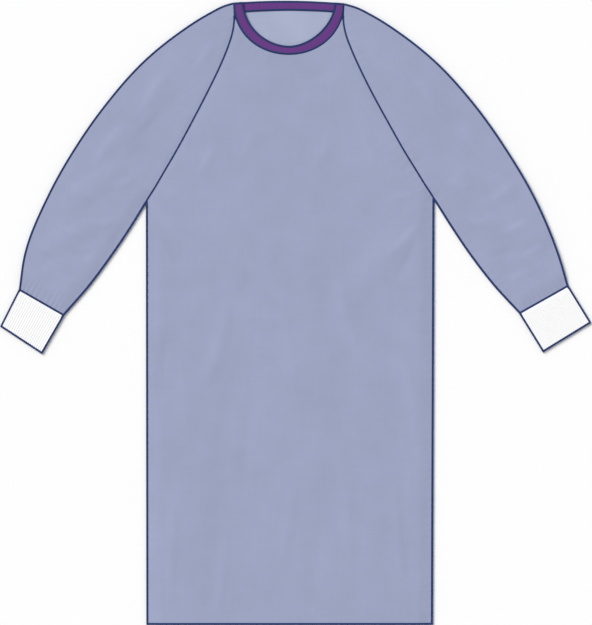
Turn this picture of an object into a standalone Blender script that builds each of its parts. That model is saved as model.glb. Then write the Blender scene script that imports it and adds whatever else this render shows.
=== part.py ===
"""Surgical gown, laid flat on its back.

Metres, +Z up. The gown lies on z = 0 with its front up, the neck towards +Y and the hem towards -Y.
Lengths in the tables are millimetres: x from the middle of the body, y up from the hem.
Left is -X. Layers from the surface up: outer back lap, inner back lap, front. Each sleeve is one
sheet folded along the arm's upper edge, and its two edges meet along the underarm seam.
"""

from typing import NamedTuple

import bmesh
import bpy
import numpy as np

MM = 0.001

# Cloth
CLOTH = 1.5 * MM
SEAM_GAP = 0.3 * MM
KNIT = 1.6 * MM
BINDING = 2.0 * MM

# Body: half its width at the hem, and the middle of the whole outline
HEM_HALF_WIDTH = 285.5 * MM
FRAME_CENTRE = (12.8 * MM, 624.0 * MM)

# Neck: the binding's front run lies between two half ellipses about one centre
NECK_Y = 1228.0 * MM
NECK_OUTER = (111.5 * MM, 89.5 * MM)
NECK_INNER = (87.0 * MM, 72.0 * MM)
NECK_TOP_Y = 1243.5 * MM
BACK_BAND_RISE = 4.5 * MM
BACK_BAND_LOW_Y = 1226.0 * MM
BACK_BAND_LOW_RISE = 2.5 * MM
ARM_CLIMB_Y = 1190.0 * MM
ARM_CLIMB = 25.0 * MM

# Centre-back laps
OUTER_LAP_EDGE = 90.0 * MM
INNER_LAP_EDGE = -96.0 * MM
RAMP_START = 92.0 * MM
RAMP_END = 106.0 * MM

# Heights of the upper layer's top face, and how far from a seam they are reached
SEAM_TOP = 2 * CLOTH + SEAM_GAP
FIELD_TOP = 5.3 * MM
SEAM_ROLL = 32.0 * MM
FOLD_ROLL = 90.0 * MM
FOLD_LIMIT = 1.5 * MM

# Rib-knit cuffs
RIB_PITCH = 5.0 * MM
RIB_HEIGHT = 0.6 * MM

# How finely each piece is divided
RAGLAN_STEPS = 12
NECK_STEPS = 24
TIP_STEPS = 2
BODY_ROWS = 24
BACK_ROWS = 5
UNDERARM_STEPS = 12
SLEEVE_TOP_STEPS = 10
ROLL_STEPS = 5


class Point(NamedTuple):
    """A point of an outline, in mm: x outwards from the middle, y up from the hem."""

    x: float
    y: float


class Fold(NamedTuple):
    """A soft raised fold, in mm: its two ends, its half width and its height."""

    x0: float
    y0: float
    x1: float
    y1: float
    half_width: float
    height: float


class Sleeve(NamedTuple):
    """One sleeve's outline beyond the raglan seam, and its cuff's far corners, outwards in mm."""

    side: int
    overarm: list
    underarm: list
    cuff_upper: Point
    cuff_lower: Point


NECK_CORNER = Point(112.1, 1243.5)
SLEEVE_NECK_EDGE_END = Point(112.1, 1218.0)
ARMPIT = Point(287.0, 850.0)

RAGLAN = [
    Point(111.8, 1228.0),
    Point(111.6, 1206.0),
    Point(114.2, 1181.0),
    Point(124.0, 1153.0),
    Point(137.0, 1120.0),
    Point(162.0, 1069.0),
    Point(194.0, 1009.0),
    Point(227.0, 949.0),
    Point(263.0, 889.0),
    ARMPIT,
]

SLEEVES = {
    "left": Sleeve(
        side=-1,
        overarm=[
            NECK_CORNER,
            Point(129.5, 1238.0),
            Point(160.5, 1222.5),
            Point(220.0, 1184.5),
            Point(287.0, 1130.5),
            Point(368.0, 1040.0),
            Point(431.0, 950.0),
            Point(482.0, 859.5),
            Point(530.0, 739.0),
            Point(539.5, 670.5),
        ],
        underarm=[
            ARMPIT,
            Point(315.5, 798.0),
            Point(354.5, 738.0),
            Point(399.0, 678.0),
            Point(450.8, 618.8),
        ],
        cuff_upper=Point(577.6, 597.0),
        cuff_lower=Point(495.2, 541.2),
    ),
    "right": Sleeve(
        side=1,
        overarm=[
            NECK_CORNER,
            Point(134.5, 1235.0),
            Point(166.0, 1218.5),
            Point(228.0, 1178.5),
            Point(287.5, 1130.5),
            Point(370.5, 1040.0),
            Point(434.0, 950.0),
            Point(488.0, 859.5),
            Point(538.0, 739.0),
            Point(556.8, 678.4),
        ],
        underarm=[
            ARMPIT,
            Point(320.5, 798.0),
            Point(361.0, 738.0),
            Point(408.0, 678.0),
            Point(459.8, 623.4),
        ],
        cuff_upper=Point(603.2, 604.8),
        cuff_lower=Point(507.6, 544.6),
    ),
}

FOLDS = [
    Fold(-205, 70, -165, 620, 62, 1.4),
    Fold(-45, 20, -5, 470, 80, 1.0),
    Fold(70, 330, 45, 900, 70, 0.9),
    Fold(190, 40, 150, 560, 58, 1.3),
    Fold(-255, 815, -110, 700, 40, 1.2),
    Fold(250, 805, 115, 655, 44, 1.3),
    Fold(-70, 1085, 60, 1055, 46, 0.8),
    Fold(-215, 1125, -330, 965, 38, 1.1),
    Fold(220, 1120, 345, 975, 40, 1.0),
    Fold(-345, 905, -430, 850, 30, 1.4),
    Fold(350, 900, 440, 862, 28, 1.2),
    Fold(-400, 790, -490, 755, 26, 1.3),
    Fold(405, 800, 500, 770, 30, 1.4),
    Fold(-450, 715, -510, 690, 22, 1.0),
    Fold(455, 725, 525, 700, 24, 1.1),
]

FINISHES = {
    "gown_cloth": ((157, 164, 193), 0.85),
    "gown_cloth_inside": ((169, 176, 202), 0.85),
    "neck_binding": ((107, 60, 133), 0.7),
    "rib_knit": ((244, 244, 246), 0.9),
}


def clear_scene():
    for obj in list(bpy.data.objects):
        bpy.data.objects.remove(obj, do_unlink=True)


def linear(channel):
    """One screen colour channel, 0 to 255, as linear light."""
    value = channel / 255
    return value / 12.92 if value <= 0.04045 else ((value + 0.055) / 1.055) ** 2.4


def material(finish):
    """The Principled material of a finish, made once."""
    if finish in bpy.data.materials:
        return bpy.data.materials[finish]
    colour, roughness = FINISHES[finish]
    made = bpy.data.materials.new(finish)
    made.use_nodes = True
    shader = made.node_tree.nodes["Principled BSDF"]
    shader.inputs["Base Color"].default_value = (*map(linear, colour), 1.0)
    shader.inputs["Roughness"].default_value = roughness
    shader.inputs["Metallic"].default_value = 0.0
    return made


def ease(amount):
    """0 to 1 with level ends."""
    held = np.clip(amount, 0.0, 1.0)
    return held * held * (3 - 2 * held)


def smooth_line(points, fractions, side=1):
    """The curve through a table's points, in metres, read at these fractions of its length.

    Each stretch is a cubic whose end slopes come from the points on either side.
    """
    knots = np.array([(side * point.x, point.y) for point in points]) * MM
    chord = np.r_[0.0, np.cumsum(np.linalg.norm(np.diff(knots, axis=0), axis=1))]
    slope = np.gradient(knots, chord, axis=0)
    where = np.linspace(0.0, chord[-1], 1200)
    low = np.clip(np.searchsorted(chord, where, side="right") - 1, 0, len(chord) - 2)
    step = (chord[low + 1] - chord[low])[:, None]
    t = (where - chord[low])[:, None] / step
    curve = (
        (2 * t**3 - 3 * t**2 + 1) * knots[low]
        + (t**3 - 2 * t**2 + t) * step * slope[low]
        + (3 * t**2 - 2 * t**3) * knots[low + 1]
        + (t**3 - t**2) * step * slope[low + 1]
    )
    length = np.r_[0.0, np.cumsum(np.linalg.norm(np.diff(curve, axis=0), axis=1))]
    wanted = np.asarray(fractions) * length[-1]
    return np.stack([np.interp(wanted, length, curve[:, axis]) for axis in (0, 1)], axis=1)


def plan_point(point, side):
    """One point of a table on one side of the body, in metres, as a line of one point."""
    return np.array([[side * point.x, point.y]]) * MM


def shifted(line, amount):
    """A line moved sideways, to the left of its direction where amount is positive."""
    along = np.gradient(line, axis=0)
    along /= np.linalg.norm(along, axis=1, keepdims=True)
    return line + amount * np.stack([-along[:, 1], along[:, 0]], axis=1)


def distance_to(points, line):
    """How far each plan point is from an open line."""
    start, end = line[:-1], line[1:]
    run = end - start
    offset = points[..., None, :] - start
    t = np.clip((offset * run).sum(-1) / (run * run).sum(-1), 0.0, 1.0)
    return np.linalg.norm(offset - t[..., None] * run, axis=-1).min(-1)


def raglan_line(side):
    """The raglan seam's centre line from the neck to the armpit, closer set near the neck."""
    fractions = np.linspace(0.0, 1.0, RAGLAN_STEPS + 1) ** 1.25
    line = smooth_line(RAGLAN, fractions, side)
    tip = plan_point(RAGLAN[1], side)
    below_tip = line[line[:, 1] < tip[0, 1] - 5 * MM]
    return np.concatenate([line[:1], tip, below_tip])


def edge_lines():
    """The side seams, underarm seams and cuff seams: where the upper layer comes down."""
    lines = []
    for sleeve in SLEEVES.values():
        under = smooth_line(sleeve.underarm, np.linspace(0, 1, 12), sleeve.side)
        hem = np.array([[sleeve.side * HEM_HALF_WIDTH, 0.0]])
        lines.append(np.concatenate([hem, under, plan_point(sleeve.overarm[-1], sleeve.side)]))
    return lines


EDGE_LINES = edge_lines()
NECK_ANGLES = np.linspace(np.pi, 2 * np.pi, NECK_STEPS + 1)


def cloth_top(plan):
    """Height of the upper layer's top face over each plan point.

    It is low along the side, underarm and cuff seams, rises to the field, and carries the folds.
    """
    near = np.minimum(*(distance_to(plan, line) for line in EDGE_LINES))
    folds = np.zeros(plan.shape[:-1])
    for fold in FOLDS:
        centre = np.array([[fold.x0, fold.y0], [fold.x1, fold.y1]]) * MM
        away = distance_to(plan, centre) / (fold.half_width * MM)
        folds += fold.height * MM * np.clip(1 - away**2, 0, 1) ** 2
    folds = FOLD_LIMIT * np.tanh(folds / FOLD_LIMIT)
    field = SEAM_TOP + (FIELD_TOP - SEAM_TOP) * ease(near / SEAM_ROLL)
    return field + folds * ease(near / FOLD_ROLL)


def lap_lift(x):
    """How far the inner lap is lifted by the outer lap under it."""
    return ease((RAMP_END - x) / (RAMP_END - RAMP_START))


def with_height(plan, height):
    """Plan points and their heights as points in space."""
    return np.concatenate([plan, np.broadcast_to(height, plan.shape[:-1])[..., None]], axis=-1)


def wall(name, outside, inside, finish, ring=False):
    """A closed wall between two grids of points, which are rows by columns by xyz.

    A ring's last column joins its first, and its two ends are closed. Otherwise all four edges are.
    """
    rows, columns = outside.shape[:2]
    mesh = bmesh.new()
    shift = np.array([*FRAME_CENTRE, 0.0])
    outer = [[mesh.verts.new(point - shift) for point in row] for row in outside]
    inner = [[mesh.verts.new(point - shift) for point in row] for row in inside]
    for column in range(columns if ring else columns - 1):
        beside = (column + 1) % columns
        for grid in (outer, inner):
            for near, far in zip(grid[:-1], grid[1:]):
                mesh.faces.new([near[column], near[beside], far[beside], far[column]])
        for end in (0, rows - 1):
            out, back = outer[end], inner[end]
            mesh.faces.new([out[column], out[beside], back[beside], back[column]])
    for column in () if ring else (0, columns - 1):
        for row in range(rows - 1):
            out = [outer[row][column], outer[row + 1][column]]
            mesh.faces.new([*out, inner[row + 1][column], inner[row][column]])
    bmesh.ops.recalc_face_normals(mesh, faces=mesh.faces)
    data = bpy.data.meshes.new(name)
    mesh.to_mesh(data)
    mesh.free()
    data.shade_smooth()
    data.set_sharp_from_angle(angle=0.7)
    data.materials.append(material(finish))
    piece = bpy.data.objects.new(name, data)
    bpy.context.scene.collection.objects.link(piece)
    return piece


def ellipse(axes, angles):
    """Points of an ellipse about the neck's centre."""
    return np.stack([axes[0] * np.cos(angles), NECK_Y + axes[1] * np.sin(angles)], axis=1)


def panel_edge(side):
    """A panel's raglan edge, from the armpit to the neck."""
    line = raglan_line(side)[::-1]
    return shifted(line, side * SEAM_GAP / 2)


def columns_between(low, high, rows):
    """Plan points on straight lines from each point of the lower edge to the same one above."""
    share = np.linspace(0.0, 1.0, rows + 1)[:, None, None]
    return low[None] * (1 - share) + high[None] * share


def hem_line(xs):
    """Points along the hem."""
    return np.stack([xs, np.zeros_like(xs)], axis=1)


def front_panel():
    """The front: up the raglan edges to two tips beside the neck, and down round the neck."""
    left = panel_edge(-1)[:-1]
    right = panel_edge(1)[:-1][::-1]
    cut = tuple(axis + SEAM_GAP for axis in NECK_OUTER)
    neck = ellipse(cut, NECK_ANGLES[TIP_STEPS:-TIP_STEPS])
    top = np.concatenate([left, neck, right])
    side_xs = np.linspace(HEM_HALF_WIDTH, NECK_OUTER[0] + 6 * MM, len(left))
    neck_xs = np.linspace(-NECK_OUTER[0], NECK_OUTER[0], len(neck))
    plan = columns_between(hem_line(np.r_[-side_xs, neck_xs, side_xs[::-1]]), top, BODY_ROWS)
    height = cloth_top(plan)
    wall("front_panel", with_height(plan, height), with_height(plan, height - CLOTH), "gown_cloth")


def band_low(xs):
    """The lower edge of the binding's back run."""
    share = 1 - (xs / NECK_OUTER[0]) ** 2
    return BACK_BAND_LOW_Y + BACK_BAND_LOW_RISE * share


def band_top(xs):
    """The upper edge of the binding's back run."""
    share = 1 - (xs / NECK_OUTER[0]) ** 2
    return NECK_TOP_Y + BACK_BAND_RISE * share


def back_panel(name, side, neck_xs, lift, finish):
    """A back lap from its side seam to its free edge, with its neck edge under the binding."""
    raglan = panel_edge(side)[:-1]
    corner = np.array([[side * (NECK_OUTER[0] - SEAM_GAP), BACK_BAND_LOW_Y - SEAM_GAP]])
    neck = np.stack([neck_xs, band_low(neck_xs) - SEAM_GAP], axis=1)
    top = np.concatenate([raglan, corner, neck])
    side_xs = np.linspace(HEM_HALF_WIDTH, abs(corner[0, 0]), len(raglan) + 1)
    plan = columns_between(hem_line(np.r_[side * side_xs, neck_xs]), top, BACK_ROWS)
    base = (CLOTH + SEAM_GAP) * lift(plan[..., 0])
    wall(name, with_height(plan, base + CLOTH), with_height(plan, base), finish)


def flat(x):
    """No lift: the outer lap lies on the surface."""
    return np.zeros_like(x)


def lap_columns(side, free_edge):
    """Where a lap's columns stand between the neck's corner and its free edge."""
    ramp = np.linspace(RAMP_END, RAMP_START, 4) if side > 0 else np.array([-RAMP_END])
    plain = np.linspace(ramp[-1], free_edge, 8)[1:]
    return np.r_[ramp, plain]


def back_panels():
    """The two laps, which overlap at the centre back."""
    outer = lap_columns(-1, OUTER_LAP_EDGE)
    back_panel("back_panel_outer", -1, outer, flat, "gown_cloth")
    inner = lap_columns(1, INNER_LAP_EDGE)
    back_panel("back_panel_inner", 1, inner, lap_lift, "gown_cloth_inside")


def sleeve_grid(sleeve):
    """The sleeve's inner line and overarm line, one point of each for each section."""
    raglan = shifted(raglan_line(sleeve.side), sleeve.side * SEAM_GAP / 2)
    under = smooth_line(sleeve.underarm, np.linspace(0, 1, UNDERARM_STEPS + 1), sleeve.side)
    under[0] = raglan[-1]
    inner = np.concatenate([plan_point(SLEEVE_NECK_EDGE_END, sleeve.side), raglan[1:], under[1:]])
    length = np.r_[0.0, np.cumsum(np.linalg.norm(np.diff(inner, axis=0), axis=1))]
    overarm = smooth_line(sleeve.overarm, length / length[-1], sleeve.side)
    wrist = inner[-1] - overarm[-1]
    back = np.array([wrist[1], -wrist[0]]) / np.linalg.norm(wrist)
    back *= np.sign(back[1]) * SEAM_GAP / 2
    inner[-1] += back
    overarm[-1] += back
    return inner, overarm


def sleeve_piece(name, sleeve):
    """One sheet folded at the overarm line: an upper layer, a rolled fold and a lower layer."""
    inner, overarm = sleeve_grid(sleeve)
    width = np.linalg.norm(overarm - inner, axis=1)
    out = (overarm - inner) / width[:, None]
    fold_top = cloth_top(overarm - out * SEAM_TOP)
    radius = fold_top / 2
    flat_run = width - radius
    share = np.linspace(0.0, 1.0, SLEEVE_TOP_STEPS + 1)
    upper = inner[:, None] + out[:, None] * (flat_run[:, None] * share)[..., None]
    height = cloth_top(upper)
    height[:, -1] = fold_top
    angles = np.linspace(np.pi / 2, -np.pi / 2, ROLL_STEPS + 1)[1:]
    lower_share = np.array([0.85, 0.5, 0.15, 0.0])
    lower = inner[:, None] + out[:, None] * (flat_run[:, None] * lower_share)[..., None]

    def surface(depth):
        """The sheet's surface at a depth under its outer face."""
        reach = flat_run[:, None] + (radius - depth)[:, None] * np.cos(angles)
        roll = inner[:, None] + out[:, None] * reach[..., None]
        roll_height = radius[:, None] + (radius - depth)[:, None] * np.sin(angles)
        return np.concatenate(
            [with_height(upper, height - depth), with_height(roll, roll_height), with_height(lower, depth)],
            axis=1,
        )

    wall(name, surface(0.0), surface(CLOTH), "gown_cloth")


def cuff_piece(name, sleeve):
    """A flattened tube of rib knit, its ribs raised on the upper face only."""
    inner, overarm = sleeve_grid(sleeve)
    far = np.array([sleeve.cuff_upper, sleeve.cuff_lower]) * MM * (sleeve.side, 1)
    seam = np.array([overarm[-1], inner[-1]])
    along = far.mean(0) - seam.mean(0)
    seam += along / np.linalg.norm(along) * SEAM_GAP
    share = np.linspace(0.0, 1.0, 4)[:, None]
    start = seam[0] * (1 - share) + far[0] * share
    end = seam[1] * (1 - share) + far[1] * share
    width = np.linalg.norm(end - start, axis=1)
    out = (end - start) / width[:, None]
    top = 2 * KNIT + SEAM_GAP
    radius = top / 2
    ribs = int(round(width[0] / RIB_PITCH))
    across = np.linspace(0.0, 1.0, 3 * ribs + 1)
    raised = RIB_HEIGHT * (np.arange(3 * ribs + 1) % 3 != 0)
    turn = np.linspace(np.pi / 2, -np.pi / 2, ROLL_STEPS + 1)[1:]
    lower_share = np.array([0.75, 0.5, 0.25])

    def ring(depth, ribbed):
        """The tube's surface at a depth under its outer face, with or without ribs."""
        run = (width - 2 * radius)[:, None]
        right = radius + run + (radius - depth) * np.cos(turn)
        left = radius - (radius - depth) * np.cos(turn[::-1][1:])
        reach = np.concatenate([radius + run * across, right, radius + run * lower_share], axis=1)
        reach = np.concatenate([reach, np.broadcast_to(radius, run.shape)], axis=1)
        reach = np.concatenate([reach, np.broadcast_to(left, (len(width), len(left)))], axis=1)
        bottom = np.full(len(lower_share) + 1, depth)
        left_height = radius + (radius - depth) * np.sin(turn[::-1][1:])
        heights = np.r_[top - depth + raised * ribbed, radius + (radius - depth) * np.sin(turn)]
        heights = np.r_[heights, bottom, left_height]
        plan = start[:, None] + out[:, None] * reach[..., None]
        return with_height(plan, heights)

    wall(name, ring(0.0, True), ring(KNIT, False), "rib_knit", ring=True)


def front_band():
    """The binding's front run: two short arms at the neck corners and the half ring between."""
    arm = np.linspace(NECK_TOP_Y - NECK_Y, 0, 3)[:-1]
    rims = []
    for axes in (NECK_OUTER, NECK_INNER):
        rise = BACK_BAND_RISE * (1 - (axes[0] / NECK_OUTER[0]) ** 2) * arm / arm[0]
        left = np.stack([np.full(2, -axes[0]), NECK_Y + arm + rise], axis=1)
        rims.append(np.concatenate([left, ellipse(axes, NECK_ANGLES), left[::-1] * (-1, 1)]))
    across = np.array([0.0, 0.15, 0.5, 0.85, 1.0])
    crown = np.array([-0.6, -0.1, 0.0, -0.1, -0.6]) * MM
    plan = rims[0][:, None] * (1 - across)[None, :, None] + rims[1][:, None] * across[None, :, None]
    front_base = FIELD_TOP - CLOTH
    corner_base = 2 * (BINDING + SEAM_GAP)
    climb = ease((plan[:, :, 1] - ARM_CLIMB_Y) / ARM_CLIMB)
    base = front_base + (corner_base - front_base) * climb
    upper = with_height(plan, base + BINDING + crown)
    wall("neck_binding_front", upper, with_height(plan, base), "neck_binding")


def back_band(name, xs, lift):
    """The binding's run along one lap's neck edge."""
    across = np.linspace(0.0, 1.0, 3)
    ys = band_low(xs)[:, None] * (1 - across) + band_top(xs)[:, None] * across
    plan = np.stack([np.broadcast_to(xs[:, None], ys.shape), ys], axis=-1)
    base = (BINDING + SEAM_GAP) * lift(plan[..., 0])
    wall(name, with_height(plan, base + BINDING), with_height(plan, base), "neck_binding")


def neck_binding():
    """The neck's tape: round the front, and along each back lap to its free edge."""
    front_band()
    corner = NECK_OUTER[0] - SEAM_GAP
    back_band("neck_binding_outer", np.r_[-corner, lap_columns(-1, OUTER_LAP_EDGE)], flat)
    back_band("neck_binding_inner", np.r_[corner, lap_columns(1, INNER_LAP_EDGE)], lap_lift)


def main():
    clear_scene()
    front_panel()
    back_panels()
    for side, sleeve in SLEEVES.items():
        sleeve_piece(f"sleeve_{side}", sleeve)
        cuff_piece(f"cuff_{side}", sleeve)
    neck_binding()


main()
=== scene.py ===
"""Surgical gown, laid flat on its back: its cloth, knit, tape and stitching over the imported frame.

Metres, +Z up, in the frame's own axes: the front is up, the neck lies towards +Y and the hem towards
-Y. The tables are in millimetres, x from the middle of the body and y up from the hem.
Left is -X. Layers from the surface up: outer back lap, inner back lap, front. Each sleeve is one sheet
folded along the arm's upper edge, with its two edges sewn together along the underarm.
"""

import logging
from dataclasses import dataclass
from enum import Enum
from functools import cached_property
from typing import Callable, NamedTuple

import bpy
import numpy as np
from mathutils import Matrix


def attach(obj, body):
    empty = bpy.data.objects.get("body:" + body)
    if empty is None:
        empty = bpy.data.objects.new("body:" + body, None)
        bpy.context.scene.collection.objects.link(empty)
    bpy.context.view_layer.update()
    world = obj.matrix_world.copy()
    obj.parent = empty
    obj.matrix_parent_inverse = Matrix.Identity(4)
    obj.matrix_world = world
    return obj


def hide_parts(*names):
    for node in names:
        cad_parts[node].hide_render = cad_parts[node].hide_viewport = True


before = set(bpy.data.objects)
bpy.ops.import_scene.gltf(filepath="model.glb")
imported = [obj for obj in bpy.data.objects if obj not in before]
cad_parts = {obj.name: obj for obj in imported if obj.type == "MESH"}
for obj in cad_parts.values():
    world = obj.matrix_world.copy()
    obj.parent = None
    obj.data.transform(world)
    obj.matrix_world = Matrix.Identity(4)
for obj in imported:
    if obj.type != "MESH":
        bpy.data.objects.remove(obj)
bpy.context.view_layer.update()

MM = 0.001
BODY = "root"
CURVE_STEPS = 1200
TABLE_STEPS = 600
LOG = logging.getLogger("gown")

Height = Callable[[np.ndarray], np.ndarray]
Value = bpy.types.NodeSocket | float | tuple[float, ...]


class Side(Enum):
    """Which half of the gown, by the sign of its x."""

    LEFT = -1
    RIGHT = 1

    @property
    def label(self) -> str:
        """The side's name in a piece's name."""
        return self.name.lower()


class Lap(Enum):
    """Which of the two back laps: the one on the surface, or the one that lies on it."""

    OUTER = "outer"
    INNER = "inner"


class NeckEdge(Enum):
    """Which edge of the neck's tape: the one sewn to the cloth, or the one round the opening."""

    OUTER = "outer"
    INNER = "inner"


class Point(NamedTuple):
    """A point of an outline, in mm: x outwards from the middle, y up from the hem."""

    x: float
    y: float


class Fold(NamedTuple):
    """A broad raised fold, in mm: its two ends, its half width and its height."""

    x0: float
    y0: float
    x1: float
    y1: float
    half_width: float
    height: float


class Crease(NamedTuple):
    """A narrow ridge, or a trough where its height is negative, in mm: ends, bow, half width, height."""

    x0: float
    y0: float
    x1: float
    y1: float
    bow: float
    half_width: float
    height: float


class Swell(NamedTuple):
    """A low wave over the whole cloth: length in mm, heading in degrees, height in mm, start in turns."""

    length: float
    heading: float
    height: float
    start: float


class Waver(NamedTuple):
    """A slow sine that makes something uneven: its size, and the length in mm of one radian of it."""

    size: float
    length: float

    def at(self, along: np.ndarray, start: float | np.ndarray = 0.0) -> np.ndarray:
        """Its value at these distances."""
        return self.size * np.sin(along / (self.length * MM) + start)


@dataclass(frozen=True)
class NeckArc:
    """Half of a neck edge, in mm, from the neck's top corner to its lowest point.

    A fullness of 2 makes a quarter of an ellipse, and a lower one slants more between its ends.
    """

    half_width: float
    depth: float
    fullness: float


@dataclass(frozen=True)
class Half:
    """One half of the gown, outwards in mm: neck edges, raglan seam, sleeve edges and cuff corners."""

    hem_corner: Point
    neck: dict[NeckEdge, NeckArc]
    neck_edge_end: Point
    raglan: tuple[Point, ...]
    overarm: tuple[Point, ...]
    underarm: tuple[Point, ...]
    cuff_upper: Point
    cuff_lower: Point


HALVES = {
    Side.LEFT: Half(
        hem_corner=Point(285.5, 0.0),
        neck={
            NeckEdge.OUTER: NeckArc(112.0, 104.0, 2.08),
            NeckEdge.INNER: NeckArc(92.0, 86.5, 1.9),
        },
        neck_edge_end=Point(111.2, 1218.0),
        raglan=(
            Point(111.0, 1228.0),
            Point(110.5, 1206.0),
            Point(114.5, 1181.0),
            Point(123.5, 1153.0),
            Point(137.0, 1120.0),
            Point(161.5, 1069.0),
            Point(192.5, 1009.0),
            Point(225.0, 949.0),
            Point(260.5, 888.0),
            Point(286.5, 842.5),
        ),
        overarm=(
            Point(112.6, 1243.0),
            Point(129.5, 1238.0),
            Point(160.5, 1222.5),
            Point(220.0, 1184.5),
            Point(287.0, 1130.5),
            Point(368.0, 1040.0),
            Point(431.0, 950.0),
            Point(482.0, 859.5),
            Point(530.0, 739.0),
            Point(540.5, 670.5),
        ),
        underarm=(
            Point(286.5, 842.5),
            Point(314.0, 797.5),
            Point(354.0, 738.0),
            Point(398.5, 678.0),
            Point(450.0, 618.5),
        ),
        cuff_upper=Point(578.0, 596.0),
        cuff_lower=Point(494.5, 541.2),
    ),
    Side.RIGHT: Half(
        hem_corner=Point(286.5, 0.0),
        neck={
            NeckEdge.OUTER: NeckArc(109.5, 104.0, 2.03),
            NeckEdge.INNER: NeckArc(90.5, 86.5, 1.78),
        },
        neck_edge_end=Point(109.0, 1218.0),
        raglan=(
            Point(108.5, 1228.0),
            Point(108.0, 1206.0),
            Point(112.5, 1181.0),
            Point(122.5, 1153.0),
            Point(137.0, 1120.0),
            Point(162.0, 1069.0),
            Point(194.5, 1009.0),
            Point(228.0, 949.5),
            Point(264.5, 890.0),
            Point(289.5, 848.0),
        ),
        overarm=(
            Point(110.2, 1241.5),
            Point(134.0, 1234.5),
            Point(166.0, 1218.5),
            Point(228.0, 1178.5),
            Point(287.5, 1130.5),
            Point(370.5, 1040.0),
            Point(434.5, 950.0),
            Point(488.0, 859.5),
            Point(539.0, 739.5),
            Point(557.5, 678.0),
        ),
        underarm=(
            Point(289.5, 848.0),
            Point(321.0, 798.0),
            Point(361.5, 738.0),
            Point(408.0, 678.0),
            Point(459.0, 622.5),
        ),
        cuff_upper=Point(603.0, 603.5),
        cuff_lower=Point(507.0, 544.6),
    ),
}

# The broad folds that the solids have too
FOLDS = (
    Fold(-205, 70, -165, 620, 62, 1.4),
    Fold(-45, 20, -5, 470, 80, 1.0),
    Fold(70, 330, 45, 900, 70, 0.9),
    Fold(190, 40, 150, 560, 58, 1.3),
    Fold(-255, 815, -110, 700, 40, 1.2),
    Fold(250, 805, 115, 655, 44, 1.3),
    Fold(-70, 1085, 60, 1055, 46, 0.8),
    Fold(-215, 1125, -330, 965, 38, 1.1),
    Fold(220, 1120, 345, 975, 40, 1.0),
    Fold(-345, 905, -430, 850, 30, 1.4),
    Fold(350, 900, 440, 862, 28, 1.2),
    Fold(-400, 790, -490, 755, 26, 1.3),
    Fold(405, 800, 500, 770, 30, 1.4),
    Fold(-450, 715, -510, 690, 22, 1.0),
    Fold(455, 725, 525, 700, 24, 1.1),
)

# The fine creases: down the body, from the armpits, over the chest, then on each sleeve
CREASES = (
    Crease(-236, 18, -224, 290, 6, 12, 0.6),
    Crease(-152, 6, -128, 205, -6, 14, 0.5),
    Crease(-92, 236, -60, 508, 9, 13, -0.45),
    Crease(-22, 96, 8, 318, -7, 11, 0.45),
    Crease(46, 4, 68, 236, 6, 13, -0.4),
    Crease(120, 84, 96, 372, -9, 14, 0.55),
    Crease(234, 46, 214, 318, 7, 12, 0.6),
    Crease(254, 352, 228, 548, -6, 11, 0.5),
    Crease(-258, 404, -236, 618, 7, 12, -0.5),
    Crease(-182, 452, -118, 668, -11, 14, 0.6),
    Crease(22, 452, -14, 716, 9, 14, 0.45),
    Crease(152, 506, 94, 742, 11, 13, 0.55),
    Crease(-112, 612, 18, 596, 7, 10, 0.35),
    Crease(58, 640, 172, 620, -7, 10, 0.32),
    Crease(-264, 822, -166, 738, -8, 9, 0.75),
    Crease(-250, 782, -194, 690, -6, 9, -0.5),
    Crease(266, 818, 180, 726, 8, 10, 0.75),
    Crease(252, 776, 206, 682, 5, 9, -0.5),
    Crease(-266, 862, -172, 834, 6, 9, 0.6),
    Crease(264, 862, 184, 842, -5, 8, 0.5),
    Crease(-98, 922, -42, 1008, 6, 12, 0.4),
    Crease(30, 898, 90, 984, -6, 12, 0.42),
    Crease(-148, 968, -190, 894, 5, 9, 0.5),
    Crease(144, 994, 188, 906, -5, 9, 0.5),
    Crease(-56, 1112, 8, 1100, -6, 10, 0.42),
    Crease(22, 1088, 86, 1112, -6, 9, -0.36),
    Crease(-150, 1178, -206, 1088, 5, 10, 0.5),
    Crease(-236, 1110, -300, 1010, -7, 11, 0.6),
    Crease(-252, 1040, -326, 956, 7, 10, -0.5),
    Crease(-322, 1004, -394, 902, -8, 12, 0.7),
    Crease(-306, 900, -372, 872, 6, 9, 0.65),
    Crease(-446, 886, -368, 846, -6, 10, 0.8),
    Crease(-346, 806, -402, 812, 6, 8, 0.7),
    Crease(-470, 816, -404, 772, -6, 9, 0.75),
    Crease(-388, 744, -452, 752, 7, 8, -0.55),
    Crease(-506, 762, -440, 714, 5, 9, 0.7),
    Crease(-426, 676, -482, 702, -5, 8, 0.55),
    Crease(154, 1170, 214, 1080, -6, 10, 0.5),
    Crease(240, 1104, 296, 1016, 7, 10, 0.55),
    Crease(262, 1024, 334, 948, -6, 10, -0.5),
    Crease(330, 1006, 388, 916, 8, 12, 0.7),
    Crease(304, 890, 380, 874, -6, 9, 0.7),
    Crease(456, 892, 384, 838, 6, 10, 0.75),
    Crease(350, 812, 416, 804, -6, 8, 0.65),
    Crease(482, 812, 418, 784, 6, 9, 0.8),
    Crease(392, 736, 460, 756, -6, 8, -0.5),
    Crease(520, 756, 452, 722, -5, 9, 0.7),
    Crease(432, 680, 500, 706, 5, 8, 0.6),
)

SWELLS = (
    Swell(310, 12, 0.22, 0.10),
    Swell(205, 74, 0.16, 0.55),
    Swell(148, -38, 0.12, 0.30),
    Swell(96, 51, 0.07, 0.85),
    Swell(71, -8, 0.045, 0.20),
)


def ease(amount: np.ndarray) -> np.ndarray:
    """0 to 1 with level ends: 3 t squared less 2 t cubed."""
    held = np.clip(amount, 0.0, 1.0)
    return held * held * (3 - 2 * held)


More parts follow.
